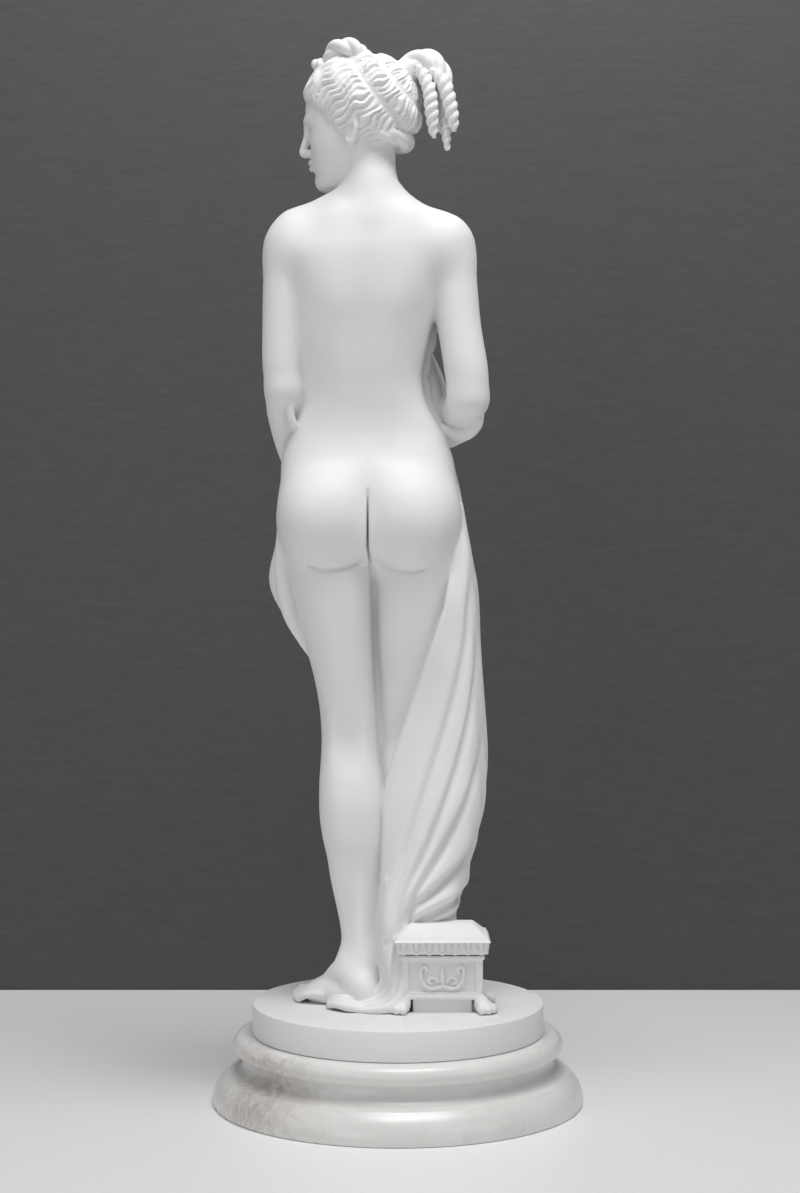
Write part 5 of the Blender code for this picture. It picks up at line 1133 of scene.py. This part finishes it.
def make_statuette():
    """The fine carving and its round base, as one closed skin."""
    xs = np.arange(*GRID_X, GRID_STEP)
    ys = np.arange(*GRID_Y, GRID_STEP)
    zs = level_lines()
    values = remove_pinches(fill_volume(figure, xs, ys, zs))
    points, quads = outer_shell(*dual_mesh(values, xs, ys, zs))
    points = points * (FIGURE_HEIGHT / 1000.0)
    points[:, 2] += BASE_TOP
    mesh = bpy.data.meshes.new("carving")
    mesh.from_pydata(points.tolist(), [], quads.tolist())
    carving = new_object("carving", mesh)
    fewer = carving.modifiers.new("fewer", "DECIMATE")
    fewer.ratio = FIGURE_TRIANGLES / (2.0 * len(quads))
    carving.data = settled(carving, "carving_fewer")
    carving.modifiers.clear()
    rim = BASE_RADIUS - BASE_SOFT
    outline = [(0, BASE_BOTTOM)]
    outline += arc(rim, BASE_BOTTOM + BASE_SOFT, BASE_SOFT, BASE_SOFT, -90, 0, 4)
    outline += arc(rim, BASE_TOP - BASE_SOFT, BASE_SOFT, BASE_SOFT, 0, 90, 4)
    outline += [(0, BASE_TOP)]
    base = new_object("round_base", turned("round_base", outline, BASE_SHARP))
    join = base.modifiers.new("join", "BOOLEAN")
    join.operation = "UNION"
    join.solver = "MANIFOLD"
    join.object = carving
    mesh = settled(base, "statuette")
    mesh.shade_smooth()
    mesh.set_sharp_from_angle(angle=radians(STATUETTE_SHARP))
    for item in (base, carving):
        bpy.data.objects.remove(item)
    return new_object("statuette", mesh, "cast_marble", "statuette_casting")


def make_plinth():
    """Foot, ovolo, step, hollow and torus, from the underside up, with slightly softened edges."""
    sweep = radians(OVOLO_SWEEP)
    reach_r = OVOLO_INSET / (1.0 - cos(sweep))
    reach_z = (OVOLO_RISE - FOOT_RISE) / sin(sweep)
    lip_r = PLINTH_RADIUS - OVOLO_INSET - OVOLO_LIP_IN
    lip_z = OVOLO_RISE - OVOLO_LIP_DOWN
    step_r = PLINTH_RADIUS - OVOLO_INSET - STEP_DEPTH
    step_z = OVOLO_RISE + STEP_RISE
    torus_z = PLINTH_HEIGHT - TORUS_ROUND
    hollow_top = PLINTH_HEIGHT - 2 * TORUS_ROUND - STEP_RISE
    outline = [(0, 0)] + arc(PLINTH_RADIUS - FOOT_ROUND, FOOT_ROUND, FOOT_ROUND, FOOT_ROUND, -90, 0, 4)
    outline += arc(PLINTH_RADIUS - reach_r, FOOT_RISE, reach_r, reach_z, 0, OVOLO_SWEEP - 1.5, 18)
    outline += arc(lip_r, lip_z, OVOLO_LIP, OVOLO_LIP, 30, 90, 3)
    outline += arc(step_r, hollow_top, step_r - WAIST_RADIUS, hollow_top - step_z, 270, 180, 22)
    outline += [(WAIST_RADIUS + 0.5 * STEP_RISE, hollow_top + 0.5 * STEP_RISE),
                (WAIST_RADIUS + 2 * STEP_RISE, hollow_top + STEP_RISE)]
    outline += arc(TORUS_RADIUS - TORUS_ROUND, torus_z, TORUS_ROUND, TORUS_ROUND, -80, 90, 24)
    outline += [(0, PLINTH_HEIGHT)]
    mesh = turned("turned_plinth", outline, PLINTH_SHARP)
    return new_object("turned_plinth", mesh, "alabaster", "alabaster_plinth")


class Nodes:
    """Short calls for a material's node tree, with the object's own coordinates as its place."""

    def __init__(self, name):
        self.material = bpy.data.materials.new(name)
        self.material.use_nodes = True
        self.tree = self.material.node_tree
        self.shader = self.tree.nodes["Principled BSDF"]
        self.place = self.add("ShaderNodeTexCoord").outputs["Object"]

    def add(self, kind, inputs=None, **settings):
        node = self.tree.nodes.new(kind)
        for key, value in settings.items():
            setattr(node, key, value)
        for key, value in (inputs or {}).items():
            self.put(node, key, value)
        return node

    def put(self, node, key, value):
        if isinstance(value, bpy.types.NodeSocket):
            self.tree.links.new(value, node.inputs[key])
        else:
            node.inputs[key].default_value = value

    def shade(self, values):
        """Links or plain values for the shader's own sockets."""
        for key, value in values.items():
            self.put(self.shader, key, value)

    def ramp(self, factor, stops):
        node = self.add("ShaderNodeValToRGB", {"Fac": factor})
        ramp = node.color_ramp
        while len(ramp.elements) < len(stops):
            ramp.elements.new(0.5)
        for element, (at, colour) in zip(ramp.elements, stops):
            element.position = at
            element.color = (*colour, 1.0)
        return node.outputs["Color"]

    def mix(self, factor, a, b):
        node = self.add("ShaderNodeMix", {0: factor, 6: a, 7: b}, data_type="RGBA")
        return node.outputs[2]

    def math(self, operation, a, b=0.0, clamp=False):
        node = self.add("ShaderNodeMath", {0: a, 1: b}, operation=operation, use_clamp=clamp)
        return node.outputs[0]

    def noise(self, scale, detail=3.0, rough=0.5, distortion=0.0, place=None):
        node = self.add("ShaderNodeTexNoise", {"Vector": place or self.place, "Scale": scale,
                                               "Detail": detail, "Roughness": rough,
                                               "Distortion": distortion})
        return node.outputs["Fac"]

    def spread(self, value, low, high, to_low, to_high):
        node = self.add("ShaderNodeMapRange", {"Value": value, "From Min": low, "From Max": high,
                                               "To Min": to_low, "To Max": to_high})
        return node.outputs["Result"]

    def bump(self, height, strength, distance):
        node = self.add("ShaderNodeBump", {"Height": height, "Strength": strength, "Distance": distance})
        return node.outputs["Normal"]


def marble():
    m = Nodes("cast_marble")
    colour = m.ramp(m.noise(9.0, 3.0, 0.55, 0.4),
                    ((0.30, (0.775, 0.775, 0.785)), (0.72, (0.835, 0.832, 0.832))))
    # painted shade: concave creases and hollows (low Pointiness) are mixed toward the grey (0.55, 0.54,
    # 0.54), standing in for the contact shading that falls there
    hollow = m.add("ShaderNodeNewGeometry").outputs["Pointiness"]
    painted_crevice_shade = m.spread(hollow, 0.40, 0.50, 1.0, 0.0)
    m.shade({
        "Base Color": m.mix(m.math("MULTIPLY", painted_crevice_shade, 0.45), colour, (0.55, 0.54, 0.54, 1.0)),
        "Roughness": m.spread(m.noise(60.0), 0.3, 0.7, 0.52, 0.62),
        "Specular IOR Level": 0.28,
        "Subsurface Weight": 0.04,
        "Subsurface Radius": (1.0, 0.95, 0.9),
        "Subsurface Scale": 0.001,
        "Normal": m.bump(m.noise(900.0, 2.0), 0.05, 0.0002),
    })
    return m.material


def alabaster():
    m = Nodes("alabaster")
    cloud = m.noise(16.0, 4.0, 0.6, 0.8)
    colour = m.ramp(cloud, ((0.30, (0.71, 0.70, 0.685)), (0.50, (0.75, 0.742, 0.73)),
                            (0.72, (0.78, 0.774, 0.765))))
    away = m.add("ShaderNodeVectorMath", {0: m.place, 1: (0.088, 0.074, 0.022)}, operation="DISTANCE")
    near = m.spread(away.outputs["Value"], 0.012, 0.050, 1.0, 0.0)
    vein = m.math("ABSOLUTE", m.math("SUBTRACT", m.noise(26.0, 4.0, 0.62, 1.6), 0.5))
    vein = m.spread(vein, 0.0, 0.055, 1.0, 0.0)
    smoke = m.spread(m.noise(40.0, 4.0, 0.65, 0.6), 0.44, 0.68, 0.0, 1.0)
    stain = m.math("MULTIPLY", m.math("MAXIMUM", vein, smoke), near, True)
    colour = m.mix(m.math("MULTIPLY", stain, 0.72), colour, (0.36, 0.31, 0.27, 1.0))
    wisp = m.math("ABSOLUTE", m.math("SUBTRACT", m.noise(12.0, 3.0, 0.6, 1.2), 0.47))
    wisp = m.spread(wisp, 0.0, 0.03, 0.10, 0.0)
    m.shade({
        "Base Color": m.mix(wisp, colour, (0.52, 0.47, 0.43, 1.0)),
        "Roughness": m.spread(cloud, 0.3, 0.7, 0.24, 0.36),
        "Subsurface Weight": 0.25,
        "Subsurface Radius": (1.0, 0.85, 0.7),
        "Subsurface Scale": 0.005,
        "Coat Weight": 0.15,
        "Coat Roughness": 0.2,
        "Normal": m.bump(m.noise(260.0), 0.06, 0.0004),
    })
    return m.material


def floor_paint():
    m = Nodes("floor_paint")
    colour = m.ramp(m.noise(3.0, 2.0), ((0.3, (0.88, 0.88, 0.88)), (0.7, (0.90, 0.90, 0.90))))
    m.shade({"Base Color": colour, "Roughness": 0.45})
    return m.material


def wall_paint():
    m = Nodes("wall_paint")
    stretch = m.add("ShaderNodeMapping", {"Vector": m.place, "Scale": (1.0, 1.0, 6.0)})
    fibre = m.noise(60.0, 5.0, 0.6, 0.3, stretch.outputs["Vector"])
    colour = m.ramp(fibre, ((0.35, (0.058, 0.058, 0.059)), (0.65, (0.068, 0.068, 0.069))))
    m.shade({"Base Color": colour, "Roughness": 0.6, "Normal": m.bump(fibre, 0.10, 0.001)})
    return m.material


def flat_sheet(name, corners, material):
    mesh = bpy.data.meshes.new(name)
    mesh.from_pydata(corners, [], [(0, 1, 2, 3)])
    mesh.materials.append(material)
    item = new_object(name, mesh)


def make_stage():
    far, back = STAGE_REACH, WALL_Y - 0.001
    flat_sheet("floor", [(-far, WALL_Y, 0), (far, WALL_Y, 0), (far, far, 0), (-far, far, 0)], floor_paint())
    flat_sheet("backdrop", [(far, back, WALL_FOOT), (-far, back, WALL_FOOT), (-far, back, far),
                            (far, back, far)], wall_paint())
    world = bpy.data.worlds.new("studio")
    bpy.context.scene.world = world
    world.use_nodes = True
    background = world.node_tree.nodes["Background"]
    background.inputs["Color"].default_value = (1.0, 1.0, 1.0, 1.0)
    background.inputs["Strength"].default_value = 0.18


def placed(name, data, place, look_way):
    """A light or camera at its place, looking along look_way."""
    item = bpy.data.objects.new(name, data)
    bpy.context.scene.collection.objects.link(item)
    item.location = place
    item.rotation_mode = "QUATERNION"
    item.rotation_quaternion = look_way.to_track_quat("-Z", "Y")
    return item


def make_lights():
    for name, place, target, size, power in AREA_LIGHTS:
        data = bpy.data.lights.new(name, "AREA")
        data.shape = "RECTANGLE"
        data.size, data.size_y = size
        data.energy = power
        placed(name, data, place, Vector(target) - Vector(place))


def make_camera():
    data = bpy.data.cameras.new("camera")
    data.sensor_fit = "VERTICAL"
    data.sensor_height = SENSOR_HEIGHT
    data.lens = SENSOR_HEIGHT * FOCAL_PIXELS / PHOTO_HEIGHT
    bpy.context.scene.camera = placed("camera", data, CAMERA_AT, Vector((0, -1, 0)))


bpy.context.scene.view_settings.view_transform = "Standard"
make_camera()
make_stage()
make_lights()
statuette = make_statuette()
statuette.data.materials.clear()
statuette.data.materials.append(marble())
plinth = make_plinth()
plinth.data.materials.append(alabaster())
